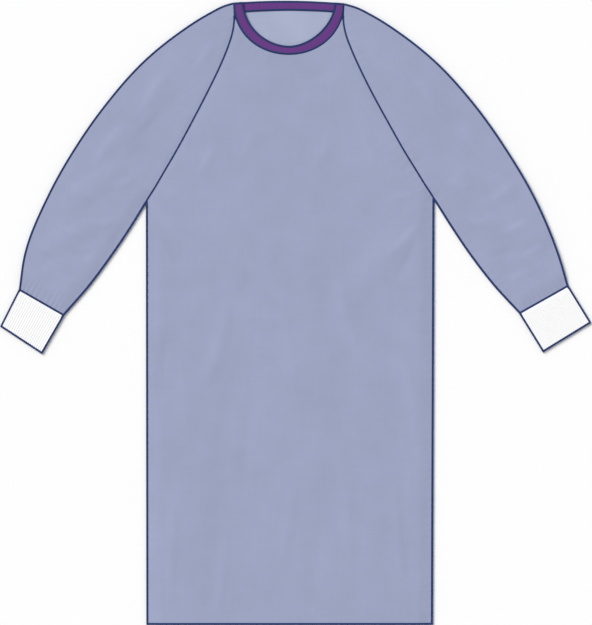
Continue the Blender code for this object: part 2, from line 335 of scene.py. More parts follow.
def linear(channel: float) -> float:
    """One screen colour channel, 0 to 255, as linear light."""
    value = channel / 255
    return value / 12.92 if value <= 0.04045 else ((value + 0.055) / 1.055) ** 2.4


def run_length(line: np.ndarray) -> np.ndarray:
    """The distance along a line to each of its points."""
    return np.r_[0.0, np.cumsum(np.linalg.norm(np.diff(line, axis=0), axis=1))]


def respaced(line: np.ndarray, step: float) -> np.ndarray:
    """A line's points set again at even distances.

    Args:
        line: Plan points, one row each.
        step: The wanted distance between points.

    Returns:
        Points about that far apart, with the same two ends.
    """
    length = run_length(line)
    at = np.linspace(0.0, length[-1], max(3, int(round(length[-1] / step)) + 1))
    return np.stack([np.interp(at, length, line[:, axis]) for axis in range(line.shape[1])], axis=1)


def lengthened(line: np.ndarray, before: float, after: float) -> np.ndarray:
    """A straight line of two points, made longer at its start and at its end."""
    step = (line[1] - line[0]) / np.linalg.norm(line[1] - line[0])
    return np.array([line[0] - step * before, line[1] + step * after])


def left_normals(line: np.ndarray) -> np.ndarray:
    """Unit plan vectors to the left of a line's direction: its tangent turned a quarter turn."""
    along = np.gradient(line[:, :2], axis=0)
    along /= np.linalg.norm(along, axis=1, keepdims=True)
    return np.stack([-along[:, 1], along[:, 0]], axis=1)


def nearest(plan: np.ndarray, line: np.ndarray) -> tuple[np.ndarray, np.ndarray]:
    """Measures plan points against an open line.

    Each point is dropped onto every stretch of the line, held between its ends, and the least
    distance counts.

    Args:
        plan: Points, with xy in the last axis.
        line: The line's points, one row each.

    Returns:
        How far each point is from the line, and how far along the line its nearest place is.
    """
    start, run = line[:-1], np.diff(line, axis=0)
    offset = plan[..., None, :] - start
    share = np.clip((offset * run).sum(-1) / (run * run).sum(-1), 0.0, 1.0)
    away = np.linalg.norm(offset - share[..., None] * run, axis=-1)
    at = away.argmin(-1)[..., None]
    stretch = np.linalg.norm(run, axis=1)
    along = run_length(line)[at[..., 0]] + np.take_along_axis(share * stretch, at, -1)[..., 0]
    return np.take_along_axis(away, at, -1)[..., 0], along


def smooth_line(points: tuple[Point, ...], shares: np.ndarray, side: Side) -> np.ndarray:
    """Reads the curve through a table's points.

    Each stretch is a cubic whose end slopes come from the points on either side.

    Args:
        points: The table, in mm.
        shares: Where to read, as shares of the curve's length.
        side: The half of the gown, which mirrors the table.

    Returns:
        Plan points in metres, one row for each share.
    """
    knots = np.array([(side.value * point.x, point.y) for point in points]) * MM
    chord = run_length(knots)
    slope = np.gradient(knots, chord, axis=0)
    where = np.linspace(0.0, chord[-1], CURVE_STEPS)
    low = np.clip(np.searchsorted(chord, where, side="right") - 1, 0, len(chord) - 2)
    step = (chord[low + 1] - chord[low])[:, None]
    t = (where - chord[low])[:, None] / step
    curve = (
        (2 * t**3 - 3 * t**2 + 1) * knots[low]
        + (t**3 - 2 * t**2 + t) * step * slope[low]
        + (3 * t**2 - 2 * t**3) * knots[low + 1]
        + (t**3 - t**2) * step * slope[low + 1]
    )
    length = run_length(curve)
    wanted = np.asarray(shares) * length[-1]
    return np.stack([np.interp(wanted, length, curve[:, axis]) for axis in (0, 1)], axis=1)


def level(height: float) -> Height:
    """A height that is the same everywhere."""
    return lambda plan: np.full(plan.shape[:-1], height)


def rows_between(low: np.ndarray, high: np.ndarray, rows: int) -> np.ndarray:
    """Rows by columns of plan points, spaced evenly on straight columns between two lines."""
    share = np.linspace(0.0, 1.0, rows + 1)[:, None, None]
    return low * (1 - share) + high * share


def with_height(plan: np.ndarray, height: np.ndarray | float) -> np.ndarray:
    """Plan points and their heights as points in space."""
    return np.concatenate([plan, np.broadcast_to(height, plan.shape[:-1])[..., None]], axis=-1)


@dataclass(frozen=True)
class Pattern:
    """The gown's cut lines on the plan, in metres, from its tables and a few driving sizes."""

    centre: tuple[float, float] = (12.8 * MM, 624.0 * MM)
    seam_gap: float = 0.3 * MM
    neck_y: float = 1243.0 * MM
    neck_half_width: float = 111.0 * MM
    band_top_y: float = 1242.0 * MM
    band_top_rise: float = 4.8 * MM
    band_tilt: float = 0.75 * MM
    band_low_y: float = 1222.0 * MM
    band_low_rise: float = 5.4 * MM
    tip_y: float = 1210.0 * MM
    tip_turn: float = np.pi / 10
    seam_start_y: float = 1217.0 * MM
    outer_lap_edge: float = 90.0 * MM
    inner_lap_edge: float = -96.0 * MM
    ramp_start: float = 92.0 * MM
    ramp_end: float = 106.0 * MM

    def point(self, at: Point, side: Side) -> np.ndarray:
        """A table's point on one side, in metres."""
        return np.array([side.value * at.x, at.y]) * MM

    def raglan(self, side: Side, steps: int, start_y: float | None = None) -> np.ndarray:
        """The raglan seam down to the armpit, from this y or the front panel's tip beside the neck."""
        table = HALVES[side].raglan
        shares = np.linspace(0, 1, TABLE_STEPS)
        dense = smooth_line(table, shares, side)
        start = np.interp(-(start_y or self.tip_y), -dense[:, 1], shares)
        return smooth_line(table, np.linspace(start, 1, steps + 1), side)

    def body_edge(self, side: Side, steps: int) -> np.ndarray:
        """The body's edge along the raglan seam, up from the armpit, half the seam's gap inside it."""
        line = self.raglan(side, steps)[::-1]
        return line + side.value * left_normals(line) * self.seam_gap / 2

    def underarm(self, side: Side, steps: int) -> np.ndarray:
        """The underarm seam from the armpit to the cuff."""
        return smooth_line(HALVES[side].underarm, np.linspace(0, 1, steps + 1), side)

    def hem_corner(self, side: Side) -> np.ndarray:
        """Where the side seam meets the hem."""
        return self.point(HALVES[side].hem_corner, side)

    def side_seam(self, side: Side) -> np.ndarray:
        """The side seam from the hem to the armpit."""
        return np.array([self.hem_corner(side), self.point(HALVES[side].underarm[0], side)])

    def lower_edge(self, side: Side, steps: int) -> np.ndarray:
        """From the hem up the side seam to the armpit, and along the underarm to the cuff."""
        return np.concatenate([self.side_seam(side)[:1], self.underarm(side, steps)])

    def neck_curve(self, edge: NeckEdge, start: float, steps: int, growth: float = 0.0) -> np.ndarray:
        """A neck edge from the left side down and up to the right side.

        Each half's x is its half width times a power of the cosine of a turn, and its depth below
        the top corner the same power of the sine, where the power is 2 over the fullness. The
        corners are set on the back band's upper edge, and that shift fades out down the curve.

        Args:
            edge: Which edge of the tape.
            start: The turn below the corners at which it starts and ends.
            steps: Stretches in each half.
            growth: How far the curve is moved outwards.

        Returns:
            Its plan points, twice the steps and one more.
        """
        turns = np.linspace(start, np.pi / 2, steps + 1)
        halves = []
        for side in Side:
            arc = HALVES[side].neck[edge]
            power = 2 / arc.fullness
            x = side.value * (arc.half_width * MM + growth) * np.cos(turns) ** power
            y = self.neck_y - (arc.depth * MM + growth) * np.sin(turns) ** power
            corner_y = float(self.band_top(np.array(side.value * arc.half_width * MM)))
            y += (corner_y - self.neck_y) * np.cos(turns) ** 4
            halves.append(np.stack([x, y], axis=1))
        return np.concatenate([halves[0], halves[1][-2::-1]])

    def front_neck(self, steps: int) -> np.ndarray:
        """The front panel's neck edge, just outside the band, from tip to tip."""
        return self.neck_curve(NeckEdge.OUTER, self.tip_turn, steps // 2, self.seam_gap)

    def band_corner(self, side: Side) -> float:
        """The x of the back band's corner, just inside the front run's outer edge."""
        return side.value * (HALVES[side].neck[NeckEdge.OUTER].half_width * MM - self.seam_gap)

    def band_low(self, xs: np.ndarray) -> np.ndarray:
        """The y of the back band's lower edge, a shallow arch."""
        return self.band_low_y + self.band_low_rise * (1 - (xs / self.neck_half_width) ** 2)

    def band_top(self, xs: np.ndarray) -> np.ndarray:
        """The y of the back band's upper edge, a shallow arch that is a little lower on the right."""
        share = xs / self.neck_half_width
        return self.band_top_y + self.band_top_rise * (1 - share**2) - self.band_tilt * share

    def lap_lift(self, xs: np.ndarray) -> np.ndarray:
        """How much of a layer's height the inner lap is lifted by the outer lap under it."""
        return ease((self.ramp_end - xs) / (self.ramp_end - self.ramp_start))


@dataclass(frozen=True)
class Drape:
    """How high the upper layer lies over each plan point: seams, broad folds and fine creases."""

    pattern: Pattern
    seam_top: float = 3.3 * MM
    field_top: float = 5.3 * MM
    seam_roll: float = 32.0 * MM
    fold_roll: float = 90.0 * MM
    fold_limit: float = 1.5 * MM
    fine_roll: float = 16.0 * MM
    fine_gain: float = 1.35
    raglan_dip: float = 0.55 * MM
    dip_width: float = 7.0 * MM
    pucker_height: float = 0.24 * MM
    pucker_length: float = 17.0 * MM
    pucker_reach: float = 7.0 * MM
    gather_height: float = 0.85 * MM
    gather_length: float = 10.5 * MM
    gather_reach: float = 24.0 * MM
    gather_ends: float = 12.0 * MM
    gather_start: float = 3.0 * MM
    full_crest: float = 0.7 * MM

    @cached_property
    def edge_lines(self) -> dict[Side, np.ndarray]:
        """Where the upper layer comes down: side seam, underarm seam and cuff seam of each side."""
        lines = {}
        for side in Side:
            cuff_end = self.pattern.point(HALVES[side].overarm[-1], side)
            lines[side] = np.concatenate([self.pattern.lower_edge(side, 11), cuff_end[None]])
        return lines

    @cached_property
    def sewn_lines(self) -> tuple[np.ndarray, ...]:
        """The seams whose stitches draw the cloth up: raglan, side and underarm, and round the neck."""
        lines = [self.pattern.front_neck(20)]
        for side in Side:
            lines.append(self.pattern.raglan(side, 24))
            lines.append(self.pattern.lower_edge(side, 12))
        return tuple(lines)

    def broad(self, plan: np.ndarray) -> np.ndarray:
        """The sum of the broad folds, each a smooth hill round its line, held under a limit."""
        total = np.zeros(plan.shape[:-1])
        for fold in FOLDS:
            spine = np.array([[fold.x0, fold.y0], [fold.x1, fold.y1]]) * MM
            away = nearest(plan, spine)[0] / (fold.half_width * MM)
            total += fold.height * MM * np.clip(1 - away**2, 0, 1) ** 2
        return self.fold_limit * np.tanh(total / self.fold_limit)

    def fine(self, plan: np.ndarray) -> np.ndarray:
        """The creases and swells.

        A crease is a bell across a bowed spine, steeper on one flank, and tapers to both ends, where
        it is also narrower. A swell is a plain wave.

        Args:
            plan: Points, with xy in the last axis.

        Returns:
            The height that they add, in metres.
        """
        total = np.zeros(plan.shape[:-1])
        for crease in CREASES:
            start = np.array([crease.x0, crease.y0]) * MM
            run = np.array([crease.x1, crease.y1]) * MM - start
            length = np.linalg.norm(run)
            offset = plan - start
            share = (offset @ run) / length**2
            bow = 4 * crease.bow * MM * share * (1 - share)
            across = (offset @ np.array([-run[1], run[0]])) / length - bow
            taper = ease(share / 0.35) * ease((1 - share) / 0.5)
            width = crease.half_width * MM * (0.65 + 0.35 * taper) * np.where(across > 0, 1.25, 0.8)
            total += crease.height * MM * taper * np.exp(-((across / width) ** 2))
        for swell in SWELLS:
            heading = np.radians(swell.heading)
            along = plan @ np.array([np.cos(heading), np.sin(heading)])
            phase = along / (swell.length * MM) + swell.start
            total += swell.height * MM * np.sin(2 * np.pi * phase)
        return total * self.fine_gain

    def puckers(self, plan: np.ndarray) -> np.ndarray:
        """Small waves along the seams, of uneven length, highest a few millimetres from the stitches."""
        total = np.zeros(plan.shape[:-1])
        for number, line in enumerate(self.sewn_lines):
            away, along = nearest(plan, line)
            phase = 2 * np.pi * along / self.pucker_length
            phase += Waver(1.6, 23).at(along, number) + Waver(0.9, 9.5).at(along)
            strength = 0.65 + Waver(0.35, 41).at(along, 2 * number)
            near = away / self.pucker_reach
            total += self.pucker_height * strength * np.sin(phase) * near * np.exp(1 - near)
        return total

    def dips(self, plan: np.ndarray) -> np.ndarray:
        """The shallow groove in which each raglan seam lies."""
        away = np.minimum(*(nearest(plan, self.pattern.raglan(side, 24))[0] for side in Side))
        return -self.raglan_dip * np.exp(-((away / self.dip_width) ** 2))

    def gathers(self, plan: np.ndarray) -> np.ndarray:
        """The small gathers that run up each sleeve from its cuff seam and fade."""
        total = np.zeros(plan.shape[:-1])
        for side in Side:
            seam = np.array([self.edge_lines[side][-2], self.edge_lines[side][-1]])
            away, along = nearest(plan, seam)
            phase = 2 * np.pi * along / self.gather_length + Waver(1.3, 13).at(along, side.value)
            reach = self.gather_reach * (0.8 + Waver(0.35, 8).at(along, 2 * side.value))
            wave = np.abs(np.sin(phase / 2)) - 0.4
            left = np.linalg.norm(seam[1] - seam[0]) - along
            ends = ease(along / self.gather_ends) * ease(left / self.gather_ends)
            fade = np.exp(-away / reach) * ease(away / self.gather_start + 0.2)
            total += self.gather_height * wave * ends * fade
        return total

    def top(self, plan: np.ndarray) -> np.ndarray:
        """Height of the upper layer's top face over each plan point."""
        near = np.minimum(*(nearest(plan, line)[0] for line in self.edge_lines.values()))
        field = self.seam_top + (self.field_top - self.seam_top) * ease(near / self.seam_roll)
        broad = self.broad(plan) * ease(near / self.fold_roll)
        return field + broad + self.fine(plan) * ease(near / self.fine_roll) + self.details(plan)

    def details(self, plan: np.ndarray) -> np.ndarray:
        """What the sewing does to the cloth: puckers, grooves and gathers."""
        return self.puckers(plan) + self.dips(plan) + self.gathers(plan)

    def crest(self, plan: np.ndarray) -> np.ndarray:
        """How much each point is on a crest, about -1 to 1, for the cloth's painted light on crests and
        painted shade in troughs.
        """
        return np.clip((self.fine(plan) + self.details(plan)) / self.full_crest, -1, 1)


def grid_corners(rows: int, columns: int) -> np.ndarray:
    """The four corner numbers of each quad in an open grid of points, row by row."""
    index = np.arange(rows * columns).reshape(rows, columns)
    corners = [index[:-1, :-1], index[:-1, 1:], index[1:, 1:], index[1:, :-1]]
    return np.stack(corners, axis=-1).reshape(-1, 4)


def outward(points: np.ndarray, quads: np.ndarray) -> np.ndarray:
    """The quads turned round if the volume that they enclose comes out negative."""
    a, b, c, d = (points[quads[:, corner]] for corner in range(4))
    volume = ((a + b + c + d) * np.cross(c - a, d - b)).sum()
    return quads if volume > 0 else quads[:, ::-1]


@dataclass
class Form:
    """A closed mesh before it is put into the scene: points, quads, and a UV for each corner."""

    points: np.ndarray
    quads: np.ndarray
    uv: np.ndarray
    marks: dict[str, np.ndarray]

    def into_piece(self, name: str, centre: tuple[float, float]) -> bpy.types.Object:
        """Makes the object, with its place in its mesh and its object at the origin.

        Args:
            name: The piece's name.
            centre: The plan point that goes to the frame's origin.

        Returns:
            The new object, linked into the scene.
        """
        quads = outward(self.points, self.quads)
        uv = self.uv if quads is self.quads else self.uv[:, ::-1]
        data = bpy.data.meshes.new(name)
        data.vertices.add(len(self.points))
        data.vertices.foreach_set("co", (self.points - (*centre, 0.0)).astype(np.float32).ravel())
        data.loops.add(quads.size)
        data.loops.foreach_set("vertex_index", quads.astype(np.int32).ravel())
        data.polygons.add(len(quads))
        data.polygons.foreach_set("loop_start", np.arange(0, quads.size, 4, dtype=np.int32))
        data.update(calc_edges=True)
        data.uv_layers.new(name="cloth").data.foreach_set("uv", uv.astype(np.float32).ravel())
        for mark, values in self.marks.items():
            attribute = data.attributes.new(mark, "FLOAT", "POINT")
            attribute.data.foreach_set("value", values.astype(np.float32))
        data.validate()
        data.shade_smooth()
        data.set_sharp_from_angle(angle=0.9)
        piece = bpy.data.objects.new(name, data)
        bpy.context.scene.collection.objects.link(piece)
        return piece


def shell_form(
    outside: np.ndarray, inside: np.ndarray, uv: np.ndarray, crest: np.ndarray, ring: bool = False
) -> Form:
    """A closed wall between two grids of points, with a rim round its edge.

    Args:
        outside: Rows by columns by xyz of the outer face.
        inside: The same for the inner face.
        uv: Rows by columns by 2, with one more column for a ring, which then meets its first.
        crest: Rows by columns, kept on both faces as the mark "crest", which the cloth and the knit turn
            into painted light and shade.
        ring: Whether the last column joins the first, which leaves two rims.

    Returns:
        The closed form.
    """
    rows, columns = outside.shape[:2]
    wide = columns + ring
    unrolled = grid_corners(rows, wide)
    index = np.arange(rows * wide).reshape(rows, wide)
    paths = [index[0], index[:, -1], index[-1, ::-1], index[::-1, 0]]
    if ring:
        paths = paths[::2]
    first = np.concatenate([path[:-1] for path in paths])
    second = np.concatenate([path[1:] for path in paths])
    rim = np.stack([second, first, first, second], axis=1)
    corners = np.concatenate([unrolled, unrolled[:, ::-1], rim])
    row, column = np.divmod(corners, wide)
    quads = row * columns + column % columns
    quads[len(unrolled) : 2 * len(unrolled)] += rows * columns
    quads[2 * len(unrolled) :, 2:] += rows * columns
    points = np.concatenate([outside.reshape(-1, 3), inside.reshape(-1, 3)])
    return Form(points, quads, uv.reshape(-1, 2)[corners], {"crest": np.tile(crest.ravel(), 2)})


def bead_form(rings: np.ndarray, across: np.ndarray, along: np.ndarray) -> Form:
    """A closed bar: rings of an even number of points along a path, with a strip of quads at each end.

    Args:
        rings: Stations by ring points by xyz.
        across: The U of each ring point, with one more that closes the ring.
        along: The V of each station.

    Returns:
        The closed form.
    """
    stations, count = rings.shape[:2]
    unrolled = grid_corners(stations, count + 1)
    row, column = np.divmod(unrolled, count + 1)
    sides = row * count + column % count
    low = np.arange(count // 2 - 1)
    cap = np.stack([low + 1, low, count - 1 - low, count - 2 - low], axis=1)
    far_cap = cap[:, ::-1] + (stations - 1) * count
    quads = np.concatenate([sides, cap, far_cap])
    uv = np.stack(np.broadcast_arrays(across[None], along[:, None]), axis=-1)
    cap_uv = np.stack([across[cap], np.full(cap.shape, along[0])], axis=-1)
    far_uv = np.stack([across[cap[:, ::-1]], np.full(cap.shape, along[-1])], axis=-1)
    corner_uv = np.concatenate([uv.reshape(-1, 2)[unrolled], cap_uv, far_uv])
    return Form(rings.reshape(-1, 3), quads, corner_uv, {})


class Wiring:
    """Adds nodes to a shader tree and joins them."""

    def __init__(self, tree: bpy.types.NodeTree) -> None:
        """Keeps the tree."""
        self.tree = tree

    def add(self, kind: str, **settings: object) -> bpy.types.Node:
        """Adds a node of that kind, with these properties set."""
        node = self.tree.nodes.new(kind)
        for name, value in settings.items():
            setattr(node, name, value)
        return node

    def feed(self, socket: bpy.types.NodeSocket, value: Value) -> None:
        """Joins a socket to this output, or sets it to this number, vector or colour."""
        if isinstance(value, bpy.types.NodeSocket):
            self.tree.links.new(value, socket)
        else:
            socket.default_value = value

    def math(self, operation: str, *values: Value) -> bpy.types.NodeSocket:
        """One Math node's result."""
        node = self.add("ShaderNodeMath", operation=operation)
        for socket, value in zip(node.inputs, values):
            self.feed(socket, value)
        return node.outputs[0]

    def mix(self, factor: Value, low: Value, high: Value) -> bpy.types.NodeSocket:
        """Two colours mixed by a factor from 0 to 1."""
        node = self.add("ShaderNodeMix", data_type="RGBA", clamp_factor=True)
        for number, value in ((0, factor), (6, low), (7, high)):
            self.feed(node.inputs[number], value)
        return node.outputs[2]

    def noise(self, vector: Value, scale: Value, detail: float) -> bpy.types.NodeSocket:
        """A Noise Texture's value."""
        node = self.add("ShaderNodeTexNoise")
        for name, value in (("Vector", vector), ("Scale", scale), ("Detail", detail)):
            self.feed(node.inputs[name], value)
        return node.outputs[0]

    def stretched(self, vector: Value, by: tuple[float, float]) -> bpy.types.NodeSocket:
        """A vector with its x and y multiplied by two numbers."""
        node = self.add("ShaderNodeVectorMath", operation="MULTIPLY")
        self.feed(node.inputs[0], vector)
        self.feed(node.inputs[1], (*by, 1.0))
        return node.outputs[0]


def new_group(name: str, inputs: dict[str, float | None], outputs: tuple[str, ...]) -> bpy.types.NodeTree:
    """Makes an empty node group with its sockets.

    Args:
        name: The group's name.
        inputs: Each input's name and first value, or None for a vector.
        outputs: The names of the outputs, all numbers.

    Returns:
        The group, with its Group Input and Group Output nodes in it.
    """
    tree = bpy.data.node_groups.new(name, "ShaderNodeTree")
    for label, value in inputs.items():
        kind = "NodeSocketVector" if value is None else "NodeSocketFloat"
        socket = tree.interface.new_socket(name=label, in_out="INPUT", socket_type=kind)
        if value is not None:
            socket.default_value = value
    for label in outputs:
        tree.interface.new_socket(name=label, in_out="OUTPUT", socket_type="NodeSocketFloat")
    tree.nodes.new("NodeGroupInput")
    tree.nodes.new("NodeGroupOutput")
    return tree


def group_ends(tree: bpy.types.NodeTree) -> tuple[bpy.types.Node, bpy.types.Node]:
    """A group's input and output nodes."""
    return tree.nodes["Group Input"], tree.nodes["Group Output"]


def weave_group() -> bpy.types.NodeTree:
    """Plain weave: warp and weft threads, each a half round, that pass over each other in turn.

    A thread's crown is the absolute sine across it. Its rise and fall is a sine along it, turned
    over for each next thread, and the higher of warp and weft shows.
    """
    tree = new_group("plain_weave", {"Vector": None, "Pitch": 0.0005}, ("Height", "Gap"))
    start, end = group_ends(tree)
    wires = Wiring(tree)
    parts = wires.add("ShaderNodeSeparateXYZ")
    wires.feed(parts.inputs[0], start.outputs["Vector"])
    x, y = (wires.math("DIVIDE", parts.outputs[axis], start.outputs["Pitch"]) for axis in (0, 1))
    layers = []
    for across, along, turn in ((x, y, 0.0), (y, x, np.pi)):
        crown = wires.math("ABSOLUTE", wires.math("SINE", wires.math("MULTIPLY", across, np.pi)))
        thread = wires.math("MULTIPLY", wires.math("FLOOR", across), np.pi)
        phase = wires.math("ADD", wires.math("MULTIPLY", along, np.pi), thread)
        rise = wires.math("SINE", wires.math("ADD", phase, turn))
        layers.append(wires.math("MULTIPLY", crown, wires.math("MULTIPLY_ADD", rise, 0.5, 0.5)))
    height = wires.math("MAXIMUM", *layers)
    wires.feed(end.inputs["Height"], height)
    wires.feed(end.inputs["Gap"], wires.math("SUBTRACT", 1.0, height))
    return tree


def tone_group() -> bpy.types.NodeTree:
    """Uneven tone of dyed yarn: soft patches, and fine streaks both ways along the threads."""
    inputs = {"Vector": None, "Patch": 22.0, "Streak": 1.0}
    tree = new_group("yarn_tone", inputs, ("Tone",))
    start, end = group_ends(tree)
    wires = Wiring(tree)
    vector = start.outputs["Vector"]
    patches = wires.noise(vector, start.outputs["Patch"], 3.0)
    warp = wires.noise(wires.stretched(vector, (620.0, 9.0)), 1.0, 2.0)
    weft = wires.noise(wires.stretched(vector, (11.0, 560.0)), 1.0, 2.0)
    streaks = wires.math("SUBTRACT", wires.math("ADD", warp, weft), 1.0)
    streaks = wires.math("MULTIPLY", streaks, start.outputs["Streak"])
    wires.feed(end.inputs["Tone"], wires.math("ADD", patches, streaks))
    return tree


def twist_group() -> bpy.types.NodeTree:
    """Twisted yarn: slanting half round plies, from the absolute sine of U and V together."""
    tree = new_group("yarn_twist", {"Vector": None, "Pitch": 0.0007, "Slant": 1.0}, ("Height",))
    start, end = group_ends(tree)
    wires = Wiring(tree)
    parts = wires.add("ShaderNodeSeparateXYZ")
    wires.feed(parts.inputs[0], start.outputs["Vector"])
    leaning = wires.math("MULTIPLY_ADD", parts.outputs[0], start.outputs["Slant"], parts.outputs[1])
    phase = wires.math("MULTIPLY", wires.math("DIVIDE", leaning, start.outputs["Pitch"]), np.pi)
    wires.feed(end.inputs["Height"], wires.math("ABSOLUTE", wires.math("SINE", phase)))
    return tree


@dataclass(frozen=True)
class Groups:
    """The shader effects that several finishes share, each built once."""

    weave: bpy.types.NodeTree
    tone: bpy.types.NodeTree
    twist: bpy.types.NodeTree

    @classmethod
    def build(cls) -> "Groups":
        """Builds the groups."""
        return cls(weave_group(), tone_group(), twist_group())


class Bench:
    """One material being made: its wiring, its UV map, and its Principled shader's sockets."""

    def __init__(self, name: str) -> None:
        """Starts a material with a Principled shader and the piece's UV map."""
        self.material = bpy.data.materials.new(name)
        self.material.use_nodes = True
        self.wires = Wiring(self.material.node_tree)
        self.shader = self.material.node_tree.nodes["Principled BSDF"]
        self.uv = self.wires.add("ShaderNodeUVMap", uv_map="cloth").outputs[0]

    def group(self, tree: bpy.types.NodeTree, **values: Value) -> bpy.types.Node:
        """Places a group, with its Vector from the UV map and its other inputs as given."""
        node = self.wires.add("ShaderNodeGroup", node_tree=tree)
        self.wires.feed(node.inputs["Vector"], self.uv)
        for name, value in values.items():
            self.wires.feed(node.inputs[name], value)
        return node

    def mark(self, name: str) -> bpy.types.NodeSocket:
        """The value of one of the mesh's own attributes."""
        return self.wires.add("ShaderNodeAttribute", attribute_name=name).outputs["Fac"]

    def bump(
        self, height: Value, depth: float, strength: float, under: Value | None = None
    ) -> bpy.types.NodeSocket:
        """A bumped normal, over another one where it is given."""
        node = self.wires.add("ShaderNodeBump")
        self.wires.feed(node.inputs["Height"], height)
        node.inputs["Distance"].default_value = depth
        node.inputs["Strength"].default_value = strength
        if under is not None:
            self.wires.feed(node.inputs["Normal"], under)
        return node.outputs[0]

    def finish(
        self, colour: Value, roughness: Value, normal: Value, **plain: float
    ) -> bpy.types.Material:
        """Joins the shader's patterned sockets, and sets its plain ones."""
        self.wires.feed(self.shader.inputs["Base Color"], colour)
        self.wires.feed(self.shader.inputs["Roughness"], roughness)
        self.wires.feed(self.shader.inputs["Normal"], normal)
        self.shader.inputs["Metallic"].default_value = 0.0
        for name, value in plain.items():
            self.shader.inputs[name.replace("_", " ")].default_value = value
        return self.material


@dataclass(frozen=True)
class Tint:
    """A dye's colour on screen, 0 to 255, and how far its darker and lighter yarns stray from it."""

    red: float
    green: float
    blue: float
    stray: float = 0.05

    def shade(self, times: float) -> tuple[float, float, float, float]:
        """The linear colour, times a number."""
        return (*(linear(channel) * times for channel in (self.red, self.green, self.blue)), 1.0)

    @property
    def dark(self) -> tuple[float, float, float, float]:
        """The darker yarns' colour."""
        return self.shade(1 - self.stray)

    @property
    def light(self) -> tuple[float, float, float, float]:
        """The lighter yarns' colour."""
        return self.shade(1 + self.stray)


@dataclass(frozen=True)
class Finish:
    """What the finishes share: a record slot, a dye, a relief, gaps in shade, and a roughness."""

    slot: str
    tint: Tint
    pitch: float = 0.55 * MM
    depth: float = 0.09 * MM
    strength: float = 0.5
    gap_mix: float = 0.22
    gap_shade: float = 0.72
    roughness: float = 0.74
    roughness_step: float = 0.12

    def yarn(self, bench: Bench, tone: Value) -> bpy.types.NodeSocket:
        """The yarn's colour, from the dye's darker to its lighter yarns by an uneven tone; the gown
        cloth's tone also carries its painted light and shade on crests.
        """
        return bench.wires.mix(tone, self.tint.dark, self.tint.light)

    def in_shade(self, bench: Bench, base: Value, gap: Value) -> bpy.types.NodeSocket:
        """A colour with the gaps between its threads in shade."""
        sunk = bench.wires.math("MULTIPLY", gap, self.gap_mix)
        return bench.wires.mix(sunk, base, self.tint.shade(self.gap_shade))

    def rough(self, bench: Bench, relief: Value) -> bpy.types.NodeSocket:
        """The roughness, which changes by a step from the foot of a relief to its top."""
        return bench.wires.math("MULTIPLY_ADD", relief, self.roughness_step, self.roughness)


@dataclass(frozen=True)
class WovenCloth(Finish):
    """Close plain-weave gown cloth with painted light and shade: a little paler on the crests of its
    creases and a little darker in their troughs.
    """

    crest_light_and_shade: float = 0.22

    def material(self, groups: Groups) -> bpy.types.Material:
        """Builds the cloth's material from the weave, the yarn's tone, and the painted light and shade on
        the drape's crests.
        """
        bench = Bench(f"{self.slot}_woven")
        weave = bench.group(groups.weave, Pitch=self.pitch)
        gap = weave.outputs["Gap"]
        tone = bench.group(groups.tone, Patch=24.0, Streak=0.9).outputs["Tone"]
        # Painted light and shade: the crest mark lightens the tone on crests and darkens it in troughs.
        crest_lit_tone = bench.wires.math("MULTIPLY_ADD", bench.mark("crest"), self.crest_light_and_shade, tone)
        colour = self.in_shade(bench, self.yarn(bench, crest_lit_tone), gap)
        normal = bench.bump(weave.outputs["Height"], self.depth, self.strength)
        plain = {"Sheen_Weight": 0.12, "Sheen_Roughness": 0.45, "Specular_IOR_Level": 0.32}
        return bench.finish(colour, self.rough(bench, gap), normal, **plain)


@dataclass(frozen=True)
class BiasTape(Finish):
    """Folded bias tape: a finer weave set at 45 degrees, with the twill line of its yarn over it."""

    pitch: float = 0.42 * MM
    depth: float = 0.08 * MM
    gap_mix: float = 0.35
    gap_shade: float = 0.6
    roughness: float = 0.55
    roughness_step: float = 0.15
    twill_pitch: float = 1.1 * MM
    twill_depth: float = 0.12 * MM
    twill_strength: float = 0.35

    def material(self, groups: Groups) -> bpy.types.Material:
        """Builds the tape's material from the weave, the twill line and the yarn's tone."""
        bench = Bench(f"{self.slot}_tape")
        weave = bench.group(groups.weave, Pitch=self.pitch)
        gap = weave.outputs["Gap"]
        twill = bench.group(groups.twist, Pitch=self.twill_pitch, Slant=1.0).outputs["Height"]
        tone = bench.group(groups.tone, Patch=60.0, Streak=0.7).outputs["Tone"]
        colour = self.in_shade(bench, self.yarn(bench, tone), gap)
        lines = bench.bump(twill, self.twill_depth, self.twill_strength)
        normal = bench.bump(weave.outputs["Height"], self.depth, self.strength, lines)
        plain = {"Sheen_Weight": 0.04, "Specular_IOR_Level": 0.25}
        return bench.finish(colour, self.rough(bench, gap), normal, **plain)


